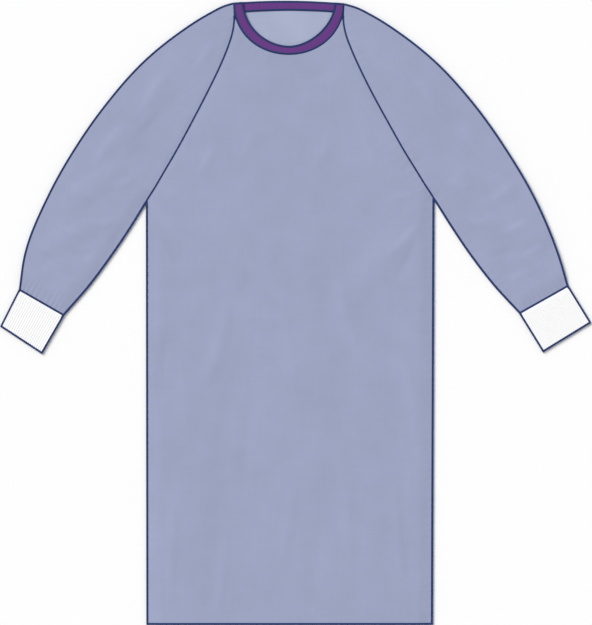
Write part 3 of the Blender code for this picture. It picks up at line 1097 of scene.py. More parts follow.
@dataclass(frozen=True)
class RibKnit(Finish):
    """Rib knit: each raised rib is two columns of V stitches, and the furrows between are in shade."""

    pitch: float = 1.25 * MM
    depth: float = 0.35 * MM
    strength: float = 0.6
    gap_mix: float = 0.06
    gap_shade: float = 0.6
    roughness: float = 0.9
    roughness_step: float = -0.08
    stitch_height: float = 1.5 * MM
    leg_slant: float = 1.1
    column_fall: float = 1.4
    furrow_mix: float = 0.09
    furrow_shade: float = 0.62

    def stitches(self, bench: Bench) -> bpy.types.NodeSocket:
        """The height of the V stitches.

        A stitch's two legs slant up to meet, so the pattern is a wave along the rib whose phase
        rises with the distance from the column's middle.
        """
        wires = bench.wires
        parts = wires.add("ShaderNodeSeparateXYZ")
        wires.feed(parts.inputs[0], bench.uv)
        column = wires.math("DIVIDE", parts.outputs[0], self.pitch)
        off_middle = wires.math("ABSOLUTE", wires.math("SUBTRACT", wires.math("FRACT", column), 0.5))
        course = wires.math("DIVIDE", parts.outputs[1], self.stitch_height)
        leg = wires.math("SUBTRACT", course, wires.math("MULTIPLY", off_middle, self.leg_slant))
        loops = wires.math("ABSOLUTE", wires.math("SINE", wires.math("MULTIPLY", leg, np.pi)))
        dome = wires.math("SUBTRACT", 1.0, wires.math("MULTIPLY", off_middle, self.column_fall))
        return wires.math("MULTIPLY", loops, dome)

    def material(self, groups: Groups) -> bpy.types.Material:
        """Builds the knit's material from its stitches, its furrows and the yarn's tone."""
        bench = Bench(f"{self.slot}_ribbed")
        wires = bench.wires
        height = self.stitches(bench)
        tone = bench.group(groups.tone, Patch=90.0, Streak=0.5).outputs["Tone"]
        furrow = wires.math("MULTIPLY_ADD", bench.mark("crest"), -self.furrow_mix, self.furrow_mix)
        shaded = wires.mix(furrow, self.yarn(bench, tone), self.tint.shade(self.furrow_shade))
        colour = self.in_shade(bench, shaded, wires.math("SUBTRACT", 1.0, height))
        normal = bench.bump(height, self.depth, self.strength)
        plain = {"Sheen_Weight": 0.15, "Specular_IOR_Level": 0.25}
        return bench.finish(colour, self.rough(bench, height), normal, **plain)


@dataclass(frozen=True)
class SewingThread(Finish):
    """Glossy polyester sewing thread, laid side by side, each with its twist."""

    pitch: float = 0.7 * MM
    depth: float = 0.18 * MM
    gap_mix: float = 0.4
    gap_shade: float = 0.55
    roughness: float = 0.62
    roughness_step: float = -0.14
    slant: float = 0.55

    def material(self, groups: Groups) -> bpy.types.Material:
        """Builds the thread's material from its slanting plies and its tone."""
        bench = Bench(f"{self.slot}_twisted")
        plies = bench.group(groups.twist, Pitch=self.pitch, Slant=self.slant).outputs["Height"]
        tone = bench.group(groups.tone, Patch=140.0, Streak=0.4).outputs["Tone"]
        gap = bench.wires.math("SUBTRACT", 1.0, plies)
        colour = self.in_shade(bench, self.yarn(bench, tone), gap)
        normal = bench.bump(plies, self.depth, self.strength)
        return bench.finish(colour, self.rough(bench, plies), normal, Specular_IOR_Level=0.25)


@dataclass(frozen=True)
class Finishes:
    """Every finish on the gown, made once: its record slot and its material."""

    cloth: tuple[str, bpy.types.Material]
    inside: tuple[str, bpy.types.Material]
    tape: tuple[str, bpy.types.Material]
    knit: tuple[str, bpy.types.Material]
    thread: tuple[str, bpy.types.Material]

    @classmethod
    def build(cls) -> "Finishes":
        """Builds all five materials."""
        groups = Groups.build()
        kinds = (
            WovenCloth("gown_cloth", Tint(155.5, 162.5, 192)),
            WovenCloth("gown_cloth_inside", Tint(168.5, 175.5, 202)),
            BiasTape("neck_binding", Tint(101, 52, 130, 0.08)),
            RibKnit("rib_knit", Tint(253, 253, 254, 0.01)),
            SewingThread("seam_thread", Tint(28, 52, 104, 0.12)),
        )
        return cls(*((kind.slot, kind.material(groups)) for kind in kinds))


@dataclass
class Workroom:
    """What every sub-assembly needs: the pattern, the drape, the finishes and the list of pieces."""

    pattern: Pattern
    drape: Drape
    finishes: Finishes

    def put(
        self,
        name: str,
        form: Form,
        finish: tuple[str, bpy.types.Material],
        replaced: tuple[str, ...] = (),
    ) -> bpy.types.Object:
        """Puts a form into the scene as a finished piece that rides on the gown.

        Args:
            name: The piece's name.
            form: Its closed form.
            finish: Its record slot and material.
            replaced: The frame's nodes that it stands for.

        Returns:
            The piece.
        """
        slot, material = finish
        piece = form.into_piece(name, self.pattern.centre)
        piece.data.materials.append(material)
        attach(piece, BODY)
        if replaced:
            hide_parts(*replaced)
        LOG.info("%s: %d faces, %s", name, len(piece.data.polygons), slot)
        return piece


@dataclass(frozen=True)
class Stitching:
    """Close overlock stitches over a seam or an edge, as one ridged bar of thread."""

    width: float = 4.2 * MM
    lift: float = 0.38 * MM
    ridge: float = 0.24 * MM
    pitch: float = 2.1 * MM
    lean: float = 0.55
    per_stitch: int = 3
    floor: float = 0.02 * MM
    sink: float = 0.15 * MM
    crown_at: float = 0.65
    shoulder_out: float = 0.6
    shoulder_up: float = 0.4
    corner: float = 0.4 * MM

    def relief(self, along: np.ndarray, across: np.ndarray) -> np.ndarray:
        """How high the thread stands, 0 to 1: the absolute sine of the distance along, leaning across."""
        turns = along[:, None] / self.pitch + self.lean * across[None]
        return np.abs(np.sin(np.pi * turns))

    def over_seam(self, line: np.ndarray, ground: Height) -> Form:
        """Stitches that lie flat over a seam.

        Each ring arches from one side of the seam to the other, above the ground's height there,
        and its last point is below the cloth.

        Args:
            line: The seam's plan points.
            ground: Gives the height of the cloth under plan points.

        Returns:
            The bar's form.
        """
        line = respaced(line, self.pitch / self.per_stitch)
        along = run_length(line)
        across = np.array([-1.0, -0.6, 0.0, 0.6, 1.0])
        half = self.width / 2
        plan = line[:, None] + left_normals(line)[:, None] * (across * half)[None, :, None]
        arch = np.sqrt(1 - across**2)
        rise = (self.lift + self.ridge * self.relief(along, across)) * arch - self.sink * (1 - arch)
        top = with_height(plan, ground(plan) + rise)
        under = with_height(line[:, None], ground(line[:, None]) - 3 * self.sink)
        turn = np.r_[across * half, 0.0, -half]
        return bead_form(np.concatenate([top, under], axis=1), turn, along)

    def round_edge(self, line: np.ndarray, top: Height, bottom: Height) -> Form:
        """Stitches wrapped round an edge that lies to the right of a line, which is the edge itself.

        The ring goes out over the upper face, down past the edge with two rounded shoulders, and
        back under the lower face, never below the surface that the gown lies on.

        Args:
            line: The edge's plan points, with open air to the left.
            top: Gives the height of the upper face near plan points.
            bottom: Gives the height of the lower face near plan points.

        Returns:
            The bar's form.
        """
        line = respaced(line, self.pitch / self.per_stitch)
        along = run_length(line)
        outward_step = left_normals(line)

        def faces(inset: float) -> tuple[np.ndarray, np.ndarray]:
            """The upper and lower faces' heights at a distance inside the edge."""
            plan = line - outward_step * inset
            return top(plan)[:, None], bottom(plan)[:, None]

        deep_high, deep_low = faces(self.width)
        crown_high, crown_low = faces(self.width * self.crown_at)
        near, edge = faces(self.width / 2), faces(0.0)
        high, low = np.maximum(near[0], edge[0]), np.minimum(near[1], edge[1])
        middle = (high + low) / 2
        across = np.array([-1.0, -0.5, -0.2, 0.2, 0.6, 1.0, 1.4])
        rise = self.lift + self.ridge * self.relief(along, across)
        deep = -self.width * np.ones_like(high)
        crown = deep * self.crown_at
        round_out = rise[:, 2:5] * [self.shoulder_out, 1.0, self.shoulder_out]
        raised = rise * self.shoulder_up
        shoulders = [high + raised[:, 2:3], middle, low - raised[:, 4:5]]
        over = [deep_high - self.sink, crown_high + rise[:, 1:2], *shoulders]
        under = [crown_low - rise[:, 5:6], deep_low + self.sink, middle]
        out = np.concatenate([deep, crown, round_out, crown, deep, deep * 0.6], axis=1)
        rings = with_height(line[:, None] + outward_step[:, None] * out[..., None], 0.0)
        rings[..., 2] = np.maximum(np.concatenate(over + under, axis=1), self.floor)
        unrolled = np.array([-1.0, -0.6, -0.2, 0.4, 1.0, 1.5, 1.9, 2.3, 2.7]) * self.width / 2
        return bead_form(rings, unrolled, along)


@dataclass
class FrontPanel:
    """The front: up the raglan edges to two tips beside the neck, and down round the neck."""

    room: Workroom
    thickness: float = 0.8 * MM
    raglan_steps: int = 78
    neck_steps: int = 44
    rows: int = 200
    column_spread: float = 6.0 * MM
    hem_thickness: float = 1.6 * MM

    def plan(self) -> np.ndarray:
        """Straight columns from even points of the hem to the raglan and neck edges, in even rows."""
        pattern = self.room.pattern
        edges = {side: pattern.body_edge(side, self.raglan_steps) for side in Side}
        neck = pattern.front_neck(self.neck_steps)
        top = np.concatenate([edges[Side.LEFT], neck, edges[Side.RIGHT][::-1]])
        wide = pattern.neck_half_width
        sides = [
            np.linspace(
                pattern.hem_corner(side)[0],
                side.value * (wide + self.column_spread),
                self.raglan_steps + 1,
            )
            for side in Side
        ]
        hem_xs = np.r_[sides[0], np.linspace(-wide, wide, self.neck_steps + 1), sides[1][::-1]]
        hem = np.stack([hem_xs, np.zeros_like(hem_xs)], axis=1)
        return rows_between(hem, top, self.rows)

    def build(self) -> bpy.types.Object:
        """Makes the panel: the drape's height over its plan, and a thin wall under it."""
        plan = self.plan()
        height = self.room.drape.top(plan)
        outside = with_height(plan, height)
        inside = with_height(plan, height - self.thickness)
        # The drape's crest is kept as a mark: the cloth paints light on its crests and shade in its
        # troughs.
        form = shell_form(outside, inside, plan, self.room.drape.crest(plan))
        piece = self.room.put("front_panel_cloth", form, self.room.finishes.cloth, ("front_panel",))
        hem = self.stitch_hem()
        return piece

    def stitch_hem(self) -> bpy.types.Object:
        """Overlocks the hem."""
        pattern, drape = self.room.pattern, self.room.drape
        stitches = Stitching()
        line = np.array([pattern.hem_corner(Side.RIGHT), pattern.hem_corner(Side.LEFT)])
        line = lengthened(line, stitches.corner, stitches.corner)
        form = stitches.round_edge(line, drape.top, lambda plan: drape.top(plan) - self.hem_thickness)
        return self.room.put("front_hem_stitching", form, self.room.finishes.thread)


@dataclass
class BackLap:
    """One back lap, from its side seam past the centre back to its free edge."""

    room: Workroom
    lap: Lap
    thickness: float = 0.8 * MM
    layer: float = 1.8 * MM
    raglan_steps: int = 30
    neck_steps: int = 44
    rows: int = 110
    ripple: float = 0.16 * MM
    edge_thickness: float = 1.15 * MM
    edge_inset: float = 0.6 * MM

    @property
    def side(self) -> Side:
        """The side seam that the lap hangs from: the outer lap is the left one."""
        return Side.LEFT if self.lap is Lap.OUTER else Side.RIGHT

    @property
    def free_edge(self) -> float:
        """The x of the lap's free edge."""
        pattern = self.room.pattern
        return pattern.outer_lap_edge if self.lap is Lap.OUTER else pattern.inner_lap_edge

    def base(self, plan: np.ndarray) -> np.ndarray:
        """Height of the lap's lower face: on the surface, or a layer up where it lies on the other."""
        if self.lap is Lap.OUTER:
            return np.zeros(plan.shape[:-1])
        return self.layer * self.room.pattern.lap_lift(plan[..., 0])

    def ripples(self, plan: np.ndarray) -> np.ndarray:
        """Slight waves in the inner lap's upper face: two crossed sines."""
        if self.lap is Lap.OUTER:
            return np.zeros(plan.shape[:-1])
        x, y = plan[..., 0], plan[..., 1]
        wave = Waver(1.0, 13).at(x, Waver(2.1, 47).at(y)) + Waver(0.6, 19).at(y, x / (31 * MM))
        return self.ripple * wave * self.room.pattern.lap_lift(x)

    def plan(self) -> np.ndarray:
        """Straight columns from the hem to the raglan edge and the lap's neck edge, in even rows."""
        pattern, side = self.room.pattern, self.side
        raglan = pattern.body_edge(side, self.raglan_steps)
        corner_x = pattern.band_corner(side)
        neck_xs = np.linspace(corner_x, self.free_edge, self.neck_steps + 1)
        neck = np.stack([neck_xs, pattern.band_low(neck_xs) - pattern.seam_gap], axis=1)
        top = np.concatenate([raglan, neck])
        side_xs = np.linspace(pattern.hem_corner(side)[0], corner_x, len(raglan) + 1)[:-1]
        hem_xs = np.r_[side_xs, neck_xs]
        hem = np.stack([hem_xs, np.zeros_like(hem_xs)], axis=1)
        return rows_between(hem, top, self.rows)

    def build(self) -> bpy.types.Object:
        """Makes the lap's wall and stitches its hem and free edge."""
        plan = self.plan()
        base, ripples = self.base(plan), self.ripples(plan)
        finishes = self.room.finishes
        cloth = finishes.cloth if self.lap is Lap.OUTER else finishes.inside
        outside = with_height(plan, base + self.thickness + ripples)
        # The ripples' heights are kept as the crest mark: painted light on their tops and painted shade
        # in their hollows.
        form = shell_form(outside, with_height(plan, base), plan, ripples / self.ripple)
        name = f"back_panel_{self.lap.value}"
        piece = self.room.put(f"{name}_cloth", form, cloth, (name,))
        edges = [self.stitch_hem(), self.stitch_free_edge()]
        width = abs(self.free_edge - float(self.room.pattern.hem_corner(self.side)[0]))
        return piece

    def stitch_edge(self, name: str, line: np.ndarray) -> bpy.types.Object:
        """Overlocks one edge of the lap, given with open air to its left."""
        stitches = Stitching(lift=0.2 * MM, ridge=0.16 * MM, pitch=3.2 * MM)
        form = stitches.round_edge(line, lambda plan: self.base(plan) + self.edge_thickness, self.base)
        return self.room.put(name, form, self.room.finishes.thread)

    def stitch_hem(self) -> bpy.types.Object:
        """Overlocks the hem, just inside the front's."""
        inset = self.edge_inset
        corner_x = float(self.room.pattern.hem_corner(self.side)[0])
        ends = sorted([corner_x - self.side.value * inset, self.free_edge])
        line = np.array([[ends[1], inset], [ends[0], inset]])
        return self.stitch_edge(f"back_{self.lap.value}_hem_stitching", line)

    def stitch_free_edge(self) -> bpy.types.Object:
        """Overlocks the free edge from neck to hem."""
        inset = self.edge_inset
        x = self.free_edge
        high = float(self.room.pattern.band_low(np.array([x]))[0]) - inset
        line = np.array([[x, high], [x, inset]])
        line = line if self.lap is Lap.OUTER else line[::-1]
        return self.stitch_edge(f"back_{self.lap.value}_lap_stitching", line)


@dataclass
class Sleeve:
    """One raglan sleeve: a sheet folded at the overarm line, from the neck to the cuff seam."""

    room: Workroom
    side: Side
    thickness: float = 0.8 * MM
    neck_steps: int = 5
    raglan_steps: int = 84
    underarm_steps: int = 62
    upper_steps: int = 60
    roll_steps: int = 9
    lower_steps: int = 12
    meeting_shift: float = 1.65 * MM
    meeting_run: float = 45.0 * MM
    fold_blend: float = 6.0 * MM
    back_crest: float = 0.3
    raglan_stitch_steps: int = 120
    underarm_stitch_steps: int = 80

    def sections(self) -> tuple[np.ndarray, np.ndarray]:
        """The sleeve's inner line and overarm line, one point of each for each section."""
        pattern, side = self.room.pattern, self.side
        raglan = pattern.raglan(side, self.raglan_steps)
        raglan = raglan + side.value * left_normals(raglan) * pattern.seam_gap / 2
        under = pattern.underarm(side, self.underarm_steps)
        neck_end = pattern.point(HALVES[side].neck_edge_end, side)
        share = np.linspace(0.0, 1.0, self.neck_steps + 1)[:-1, None]
        neck = neck_end * (1 - share) + raglan[0] * share
        inner = np.concatenate([neck, raglan, under[1:]])
        length = run_length(inner)
        overarm = smooth_line(HALVES[side].overarm, length / length[-1], side)
        wrist = inner[-1] - overarm[-1]
        back = np.array([wrist[1], -wrist[0]]) / np.linalg.norm(wrist)
        back *= np.sign(back[1]) * pattern.seam_gap / 2
        inner[-1] += back
        overarm[-1] += back
        return inner, overarm

    def fold_top(self, overarm: np.ndarray, out: np.ndarray) -> np.ndarray:
        """How high the fold at the overarm line stands: the drape's height just inside it."""
        return self.room.drape.top(overarm - out * self.room.drape.seam_top)

    def build(self) -> bpy.types.Object:
        """Makes the sheet.

        Across each section it goes from the inner line over the drape to the fold, round a half
        circle, and back flat on the surface. The inner face is the same path a thickness inside.
        """
        drape = self.room.drape
        inner, overarm = self.sections()
        width = np.linalg.norm(overarm - inner, axis=1)
        out = (overarm - inner) / width[:, None]
        fold_top = self.fold_top(overarm, out)
        radius = fold_top[:, None] / 2
        flat_run = width[:, None] - radius
        reached = flat_run * np.linspace(0, 1, self.upper_steps + 1)
        upper = inner[:, None] + out[:, None] * reached[..., None]
        blend = ease((reached - flat_run) / self.fold_blend + 1)
        height = drape.top(upper) * (1 - blend) + fold_top[:, None] * blend
        turn = np.linspace(np.pi / 2, -np.pi / 2, self.roll_steps + 1)[1:]
        back_share = np.linspace(1, 0, self.lower_steps + 1)[1:]
        lower = inner[:, None] + out[:, None] * (flat_run * back_share)[..., None]

        def surface(depth: float) -> np.ndarray:
            """The sheet at a depth under its outer face."""
            reach = flat_run + (radius - depth) * np.cos(turn)
            roll = with_height(inner[:, None] + out[:, None] * reach[..., None], 0.0)
            roll[..., 2] = radius + (radius - depth) * np.sin(turn)
            layers = [with_height(upper, height - depth), roll, with_height(lower, depth)]
            return np.concatenate(layers, axis=1)

        outside = surface(0.0)
        crest = drape.crest(outside[..., :2])
        # The painted light and shade of the crests is weaker on the fold's roll and on the flat sheet
        # under it.
        crest[:, self.upper_steps :] *= self.back_crest
        step = np.linalg.norm(np.diff(outside, axis=1), axis=-1)
        across = np.concatenate([np.zeros((len(inner), 1)), np.cumsum(step, axis=1)], axis=1)
        along = np.broadcast_to(run_length(inner)[:, None], across.shape)
        uv = np.stack([across - width[:, None], along], axis=-1)
        form = shell_form(outside, surface(self.thickness), uv, crest)
        node = f"sleeve_{self.side.label}"
        piece = self.room.put(f"{node}_cloth", form, self.room.finishes.cloth, (node,))
        whole = float((step.sum(1)[1:] * np.diff(run_length(inner))).sum())
        LOG.info("%s: about %.3f square metres of cut cloth", node, whole)
        self.stitch(overarm)
        return piece

    def raglan_stitch_line(self) -> np.ndarray:
        """The raglan seam, which near the armpit eases over to the underarm's stitches."""
        pattern, side = self.room.pattern, self.side
        seam = pattern.raglan(side, self.raglan_stitch_steps, pattern.seam_start_y)
        left = run_length(seam)[-1] - run_length(seam)
        shift = self.meeting_shift * ease(1 - left / self.meeting_run)
        return seam + side.value * left_normals(seam) * shift[:, None]

    def stitch(self, overarm: np.ndarray) -> list[bpy.types.Object]:
        """Sews the raglan seam, the underarm seam and the overarm fold."""
        room, side, stitches = self.room, self.side, Stitching()
        top, surface = room.drape.top, level(0.0)
        under, arm = room.pattern.underarm(side, self.underarm_stitch_steps), overarm[::-1]
        under, arm = (under, arm) if side is Side.LEFT else (under[::-1], arm[::-1])
        bars = {
            "raglan": stitches.over_seam(self.raglan_stitch_line(), top),
            "underarm": stitches.round_edge(under, top, surface),
            "overarm": stitches.round_edge(arm, top, surface),
        }
        thread = room.finishes.thread
        return [room.put(f"{name}_{side.label}_stitching", bar, thread) for name, bar in bars.items()]


@dataclass
class Cuff:
    """A flattened tube of rib knit, with ribs raised on its upper face."""

    room: Workroom
    side: Side
    wall: float = 1.2 * MM
    layer: float = 1.6 * MM
    rib_pitch: float = 5.0 * MM
    rib_height: float = 0.5 * MM
    rib_roundness: float = 0.6
    rib_fade: float = 9.0
    points_per_rib: int = 8
    rows: int = 44
    roll_steps: int = 6
    lower_steps: int = 24
    seam_lift: float = 0.15 * MM
    side_lift: float = 0.3 * MM
    end_lift: float = 0.2 * MM
    upper_clear: float = 0.25 * MM
    lower_clear: float = 0.45 * MM

    def corners(self) -> tuple[np.ndarray, np.ndarray]:
        """The cuff's seam and far end, each from its overarm corner to its underarm corner."""
        pattern, side = self.room.pattern, self.side
        half = HALVES[side]
        seam = np.array([pattern.point(half.overarm[-1], side), pattern.point(half.underarm[-1], side)])
        far = np.array([pattern.point(half.cuff_upper, side), pattern.point(half.cuff_lower, side)])
        along = far.mean(0) - seam.mean(0)
        return seam + along / np.linalg.norm(along) * pattern.seam_gap, far

    @property
    def top(self) -> float:
        """Height of the furrows between the ribs."""
        return 2 * self.layer + self.room.pattern.seam_gap

    def build(self) -> bpy.types.Object:
        """Makes the tube and sews its seam, sides and open end.

        Across, the ribs are rounded steps: the sine of the place on the rib, raised to a low power
        so that the rib is broad and the furrow narrow.
        """
        seam, far = self.corners()
        share = np.linspace(0.0, 1.0, self.rows + 1)[:, None]
        start = seam[0] * (1 - share) + far[0] * share
        end = seam[1] * (1 - share) + far[1] * share
        width = np.linalg.norm(end - start, axis=1)[:, None]
        out = (end - start) / width
        radius = self.top / 2
        run = width - 2 * radius
        ribs = int(round(float(width[0, 0]) / self.rib_pitch))
        across = np.linspace(0.0, 1.0, ribs * self.points_per_rib + 1)
        rib = np.abs(np.sin(np.pi * across * ribs)) ** self.rib_roundness
        turn = np.linspace(np.pi / 2, -np.pi / 2, self.roll_steps + 1)[1:]
        lower = np.linspace(1, 0, self.lower_steps + 1)[1:]
        back_turn = turn[::-1][1:]
        fade = ease(share * self.rib_fade) * ease((1 - share) * self.rib_fade + 0.35)
        raised = self.rib_height * rib * fade

        def ring(depth: float, ribbed: bool) -> np.ndarray:
            """The tube's surface at a depth under its outer face, with or without ribs."""
            back_roll = radius - (radius - depth) * np.cos(back_turn)
            reach = np.concatenate(
                [
                    radius + run * across,
                    radius + run + (radius - depth) * np.cos(turn),
                    radius + run * lower,
                    np.broadcast_to(back_roll, (len(run), len(back_turn))),
                ],
                axis=1,
            )
            upper = self.top - depth + (raised if ribbed else np.zeros_like(raised))
            rest = np.r_[
                radius + (radius - depth) * np.sin(turn),
                np.full(len(lower), depth),
                radius + (radius - depth) * np.sin(back_turn),
            ]
            points = with_height(start[:, None] + out[:, None] * reach[..., None], 0.0)
            points[..., 2] = np.concatenate([upper, np.broadcast_to(rest, (len(run), len(rest)))], axis=1)
            return points

        outside = ring(0.0, True)
        crest = np.ones(outside.shape[:2])
        crest[:, : len(across)] = rib
        u = np.concatenate([across * ribs * self.rib_pitch, np.zeros(outside.shape[1] - len(across) + 1)])
        extra = np.arange(1, len(u) - len(across) + 1) * self.rib_pitch / 4
        u[len(across) :] = u[len(across) - 1] + extra
        length = np.linalg.norm(far.mean(0) - seam.mean(0))
        uv = np.stack(np.broadcast_arrays(u[None], share * length), axis=-1)
        form = shell_form(outside, ring(self.wall, False), uv, crest, ring=True)
        node = f"cuff_{self.side.label}"
        piece = self.room.put(f"{node}_knit", form, self.room.finishes.knit, (node,))
        self.stitch(seam, far)
        return piece

    def stitch(self, seam: np.ndarray, far: np.ndarray) -> list[bpy.types.Object]:
        """Sews the cuff to the sleeve, and overlocks its two sides and its open end."""
        room, stitches = self.room, Stitching()
        thread, label = room.finishes.thread, self.side.label
        top, side_top = self.top, level(self.top + self.side_lift)
        upper_wall = level(top + self.end_lift), level(top - self.layer + self.upper_clear)
        lower_wall = level(self.layer - self.lower_clear), level(self.end_lift)

        def facing(start: np.ndarray, end: np.ndarray) -> np.ndarray:
            """The edge between two corners, turned round on the right to keep open air to its left."""
            line = lengthened(np.array([start, end]), stitches.corner, stitches.corner)
            return line if self.side is Side.LEFT else line[::-1]

        end = facing(far[1], far[0])
        bars = {
            "seam": stitches.over_seam(seam, level(top + self.seam_lift)),
            "lower_side": stitches.round_edge(facing(seam[1], far[1]), side_top, level(0.0)),
            "upper_side": stitches.round_edge(facing(far[0], seam[0]), side_top, level(0.0)),
            "end_upper": stitches.round_edge(end, *upper_wall),
            "end_lower": stitches.round_edge(end, *lower_wall),
        }
        return [room.put(f"cuff_{label}_{name}_stitching", bar, thread) for name, bar in bars.items()]


@dataclass
class BodySeams:
    """The two side seams, from the hem to the armpits."""

    room: Workroom
    overrun: float = 4.0 * MM

    def build(self) -> list[bpy.types.Object]:
        """Sews each side seam round the edges of the front and the lap under it, past the armpit."""
        room, stitches = self.room, Stitching()
        pieces = []
        for side in Side:
            line = lengthened(room.pattern.side_seam(side), stitches.corner, self.overrun)
            line = line if side is Side.LEFT else line[::-1]
            form = stitches.round_edge(line, room.drape.top, level(0.0))
            pieces.append(room.put(f"side_seam_{side.label}_stitching", form, room.finishes.thread))
        return pieces


@dataclass
class NeckBinding:
    """The neck's tape: one run round the front, and one along each back lap to its free edge."""

    room: Workroom
    thickness: float = 2.0 * MM
    base: float = 3.8 * MM
    corner_base: float = 4.6 * MM
    climb_y: float = 1190.0 * MM
    climb: float = 25.0 * MM
    crown: float = 0.6 * MM
    across_steps: int = 9
    round_steps: int = 85
    back_steps: int = 90
    pucker: float = 0.09 * MM
    pucker_length: float = 7.0 * MM
    seam_inset: float = 1.85 * MM

    def rims(self) -> list[np.ndarray]:
        """The band's outer and inner edges, from the left corner round the front to the right one."""
        pattern = self.room.pattern
        return [pattern.neck_curve(edge, 0.0, self.round_steps) for edge in NeckEdge]

    def front_base(self, plan: np.ndarray) -> np.ndarray:
        """Height of the front run's lower face, which climbs onto the back runs at the corners."""
        climbed = ease((plan[..., 1] - self.climb_y) / self.climb)
        return self.base + (self.corner_base - self.base) * climbed

    def tape_form(self, plan: np.ndarray, base: np.ndarray) -> Form:
        """A strip of folded tape.

        Its upper face is crowned by the fourth power of the distance from its middle, with small
        puckers along it that are deepest at its edges.

        Args:
            plan: Stations by points across by xy.
            base: The lower face's height at the same places.

        Returns:
            The strip's closed form.
        """
        share = np.linspace(-1.0, 1.0, plan.shape[1])
        middle = plan[:, plan.shape[1] // 2]
        along = run_length(middle)
        crown = -self.crown * share**4
        phase = 2 * np.pi * along / self.pucker_length + Waver(1.1, 17).at(along)
        waves = self.pucker * np.sin(phase)[:, None] * (0.3 + 0.7 * share**2)
        top = base + self.thickness + crown + waves
        width = np.linalg.norm(plan[:, -1] - plan[:, 0], axis=1)
        uv = np.stack([share * width[:, None] / 2, np.broadcast_to(along[:, None], base.shape)], axis=-1)
        lean = np.array([[1.0, -1.0], [1.0, 1.0]]) / np.sqrt(2)
        return shell_form(with_height(plan, top), with_height(plan, base), uv @ lean, waves / self.pucker)

    def front_run(self) -> bpy.types.Object:
        """Makes the run round the front of the neck."""
        outer, inner = self.rims()
        share = np.linspace(0.0, 1.0, self.across_steps)[None, :, None]
        plan = outer[:, None] * (1 - share) + inner[:, None] * share
        form = self.tape_form(plan, self.front_base(plan))
        piece = self.room.put(
            "neck_binding_front_tape", form, self.room.finishes.tape, ("neck_binding_front",)
        )
        self.stitch_front(outer, inner)
        return piece

    def stitch_front(self, outer: np.ndarray, inner: np.ndarray) -> list[bpy.types.Object]:
        """Sews the front run's outer edge to the cloth, its inner edge, and its two top ends."""
        room, stitches = self.room, Stitching()
        thread = room.finishes.thread

        def tape_top(plan: np.ndarray) -> np.ndarray:
            """The tape's crowned upper face, from the distances to its two edges."""
            to_outer, to_inner = nearest(plan, outer)[0], nearest(plan, inner)[0]
            share = (to_outer - to_inner) / (to_outer + to_inner)
            return self.front_base(plan) + self.thickness - self.crown * share**4

        def joined(plan: np.ndarray) -> np.ndarray:
            """The higher of the tape and the cloth beside it."""
            return np.maximum(tape_top(plan), room.drape.field_top)

        seam = outer + left_normals(outer) * self.seam_inset
        inside = stitches.round_edge(inner, tape_top, self.front_base)
        pieces = [
            room.put("neck_outer_stitching", stitches.over_seam(seam, joined), thread),
            room.put("neck_inner_stitching", inside, thread),
        ]
        ends = {Side.LEFT: [outer[0], inner[0]], Side.RIGHT: [inner[-1], outer[-1]]}
        for side, corners in ends.items():
            form = stitches.round_edge(np.array(corners), tape_top, self.front_base)
            pieces.append(room.put(f"neck_end_{side.label}_stitching", form, thread))
        return pieces

    def back_run(self, lap: Lap) -> bpy.types.Object:
        """Makes the run along one lap's neck edge, and sews its two edges."""
        pattern = self.room.pattern
        side = Side.LEFT if lap is Lap.OUTER else Side.RIGHT
        free = pattern.outer_lap_edge if lap is Lap.OUTER else pattern.inner_lap_edge
        xs = np.linspace(pattern.band_corner(side), free, self.back_steps + 1)
        share = np.linspace(0.0, 1.0, self.across_steps)
        ys = pattern.band_low(xs)[:, None] * (1 - share) + pattern.band_top(xs)[:, None] * share
        plan = np.stack([np.broadcast_to(xs[:, None], ys.shape), ys], axis=-1)
        layer = self.thickness + pattern.seam_gap

        def base(plan: np.ndarray) -> np.ndarray:
            """Height of the run's lower face."""
            flat = np.zeros(plan.shape[:-1])
            return flat if lap is Lap.OUTER else layer * pattern.lap_lift(plan[..., 0])

        def tape_top(plan: np.ndarray) -> np.ndarray:
            """The run's crowned upper face."""
            low, high = pattern.band_low(plan[..., 0]), pattern.band_top(plan[..., 0])
            share = 2 * (plan[..., 1] - low) / (high - low) - 1
            return base(plan) + self.thickness - self.crown * np.minimum(share**4, 1.0)

        form = self.tape_form(plan, base(plan))
        node = f"neck_binding_{lap.value}"
        piece = self.room.put(f"{node}_tape", form, self.room.finishes.tape, (node,))
        xs = np.sort(xs)
        upper_edge = np.stack([xs, pattern.band_top(xs)], axis=1)
        lower_seam = np.stack([xs, pattern.band_low(xs) + self.seam_inset], axis=1)
        stitches = Stitching(lift=0.25 * MM, ridge=0.16 * MM)
        upper = stitches.round_edge(upper_edge, tape_top, base)
        lower = stitches.over_seam(lower_seam, tape_top)
        thread = self.room.finishes.thread
        sewn = [
            self.room.put(f"{node}_upper_stitching", upper, thread),
            self.room.put(f"{node}_lower_stitching", lower, thread),
        ]
        return piece

    def build(self) -> list[bpy.types.Object]:
        """Makes all three runs."""
        return [self.front_run(), self.back_run(Lap.OUTER), self.back_run(Lap.INNER)]


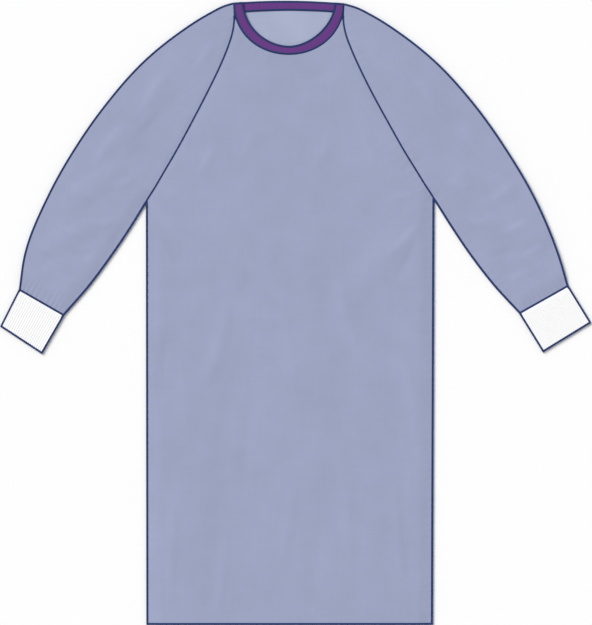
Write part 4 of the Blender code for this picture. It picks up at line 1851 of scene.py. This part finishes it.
@dataclass(frozen=True)
class Studio:
    """The pale floor, the soft light and the camera straight above."""

    floor_half_side: float = 14.0
    floor_drop: float = 0.3 * MM
    paper_dark: tuple[float, ...] = (0.955, 0.955, 0.96, 1.0)
    paper_light: tuple[float, ...] = (0.965, 0.965, 0.97, 1.0)
    view_centre: tuple[float, float] = (0.4 * MM, 0.0)
    view_height: float = 1.25
    distance: float = 5.2
    sensor: float = 36.0
    sun_strength: float = 2.5
    sun_tilt: float = 50.0
    sun_heading: float = 42.0
    sun_spread: float = 36.0
    sky_strength: float = 0.52

    def floor(self) -> bpy.types.Object:
        """A wide sheet of matt off-white paper, a little uneven in tone."""
        half, height = self.floor_half_side, -self.floor_drop
        data = bpy.data.meshes.new("floor")
        turns = ((-1, -1), (1, -1), (1, 1), (-1, 1))
        corners = [(x * half, y * half, height) for x, y in turns]
        data.from_pydata(corners, [], [(0, 1, 2, 3)])
        floor = bpy.data.objects.new("floor", data)
        bpy.context.scene.collection.objects.link(floor)
        material = bpy.data.materials.new("floor_paper")
        material.use_nodes = True
        wires = Wiring(material.node_tree)
        shader = material.node_tree.nodes["Principled BSDF"]
        place = wires.add("ShaderNodeTexCoord").outputs["Object"]
        tone = wires.noise(place, 1.4, 2.0)
        colour = wires.mix(tone, self.paper_dark, self.paper_light)
        wires.feed(shader.inputs["Base Color"], colour)
        shader.inputs["Roughness"].default_value = 0.95
        shader.inputs["Specular IOR Level"].default_value = 0.1
        data.materials.append(material)
        return floor

    def light(self) -> None:
        """One broad soft key from the upper left, and an even white surround."""
        lamp = bpy.data.lights.new("soft_key", "SUN")
        lamp.energy = self.sun_strength
        lamp.angle = np.radians(self.sun_spread)
        key = bpy.data.objects.new("soft_key", lamp)
        key.rotation_euler = (0.0, np.radians(-self.sun_tilt), np.radians(-self.sun_heading))
        bpy.context.scene.collection.objects.link(key)
        world = bpy.data.worlds.new("surround")
        world.use_nodes = True
        background = world.node_tree.nodes["Background"]
        background.inputs["Color"].default_value = (1.0, 1.0, 1.0, 1.0)
        background.inputs["Strength"].default_value = self.sky_strength
        bpy.context.scene.world = world
        bpy.context.scene.view_settings.view_transform = "Standard"

    def camera(self) -> None:
        """A long lens straight above, so that the view's height is the picture's."""
        data = bpy.data.cameras.new("camera")
        data.sensor_width = self.sensor
        data.lens = self.sensor * self.distance / self.view_height
        data.clip_end = 100.0
        camera = bpy.data.objects.new("camera", data)
        camera.location = (*self.view_centre, self.distance)
        bpy.context.scene.collection.objects.link(camera)
        bpy.context.scene.camera = camera

    def build(self) -> None:
        """Sets out the floor, the light and the camera."""
        self.floor()
        self.light()
        self.camera()


def main() -> None:
    """Builds the gown's pieces in order, and then the studio round it."""
    logging.basicConfig(level=logging.INFO, format="%(name)s: %(message)s")
    pattern = Pattern()
    room = Workroom(pattern, Drape(pattern), Finishes.build())
    for lap in Lap:
        BackLap(room, lap).build()
    FrontPanel(room).build()
    for side in Side:
        Sleeve(room, side).build()
        Cuff(room, side).build()
    BodySeams(room).build()
    NeckBinding(room).build()
    Studio().build()


if __name__ == "__main__":
    main()
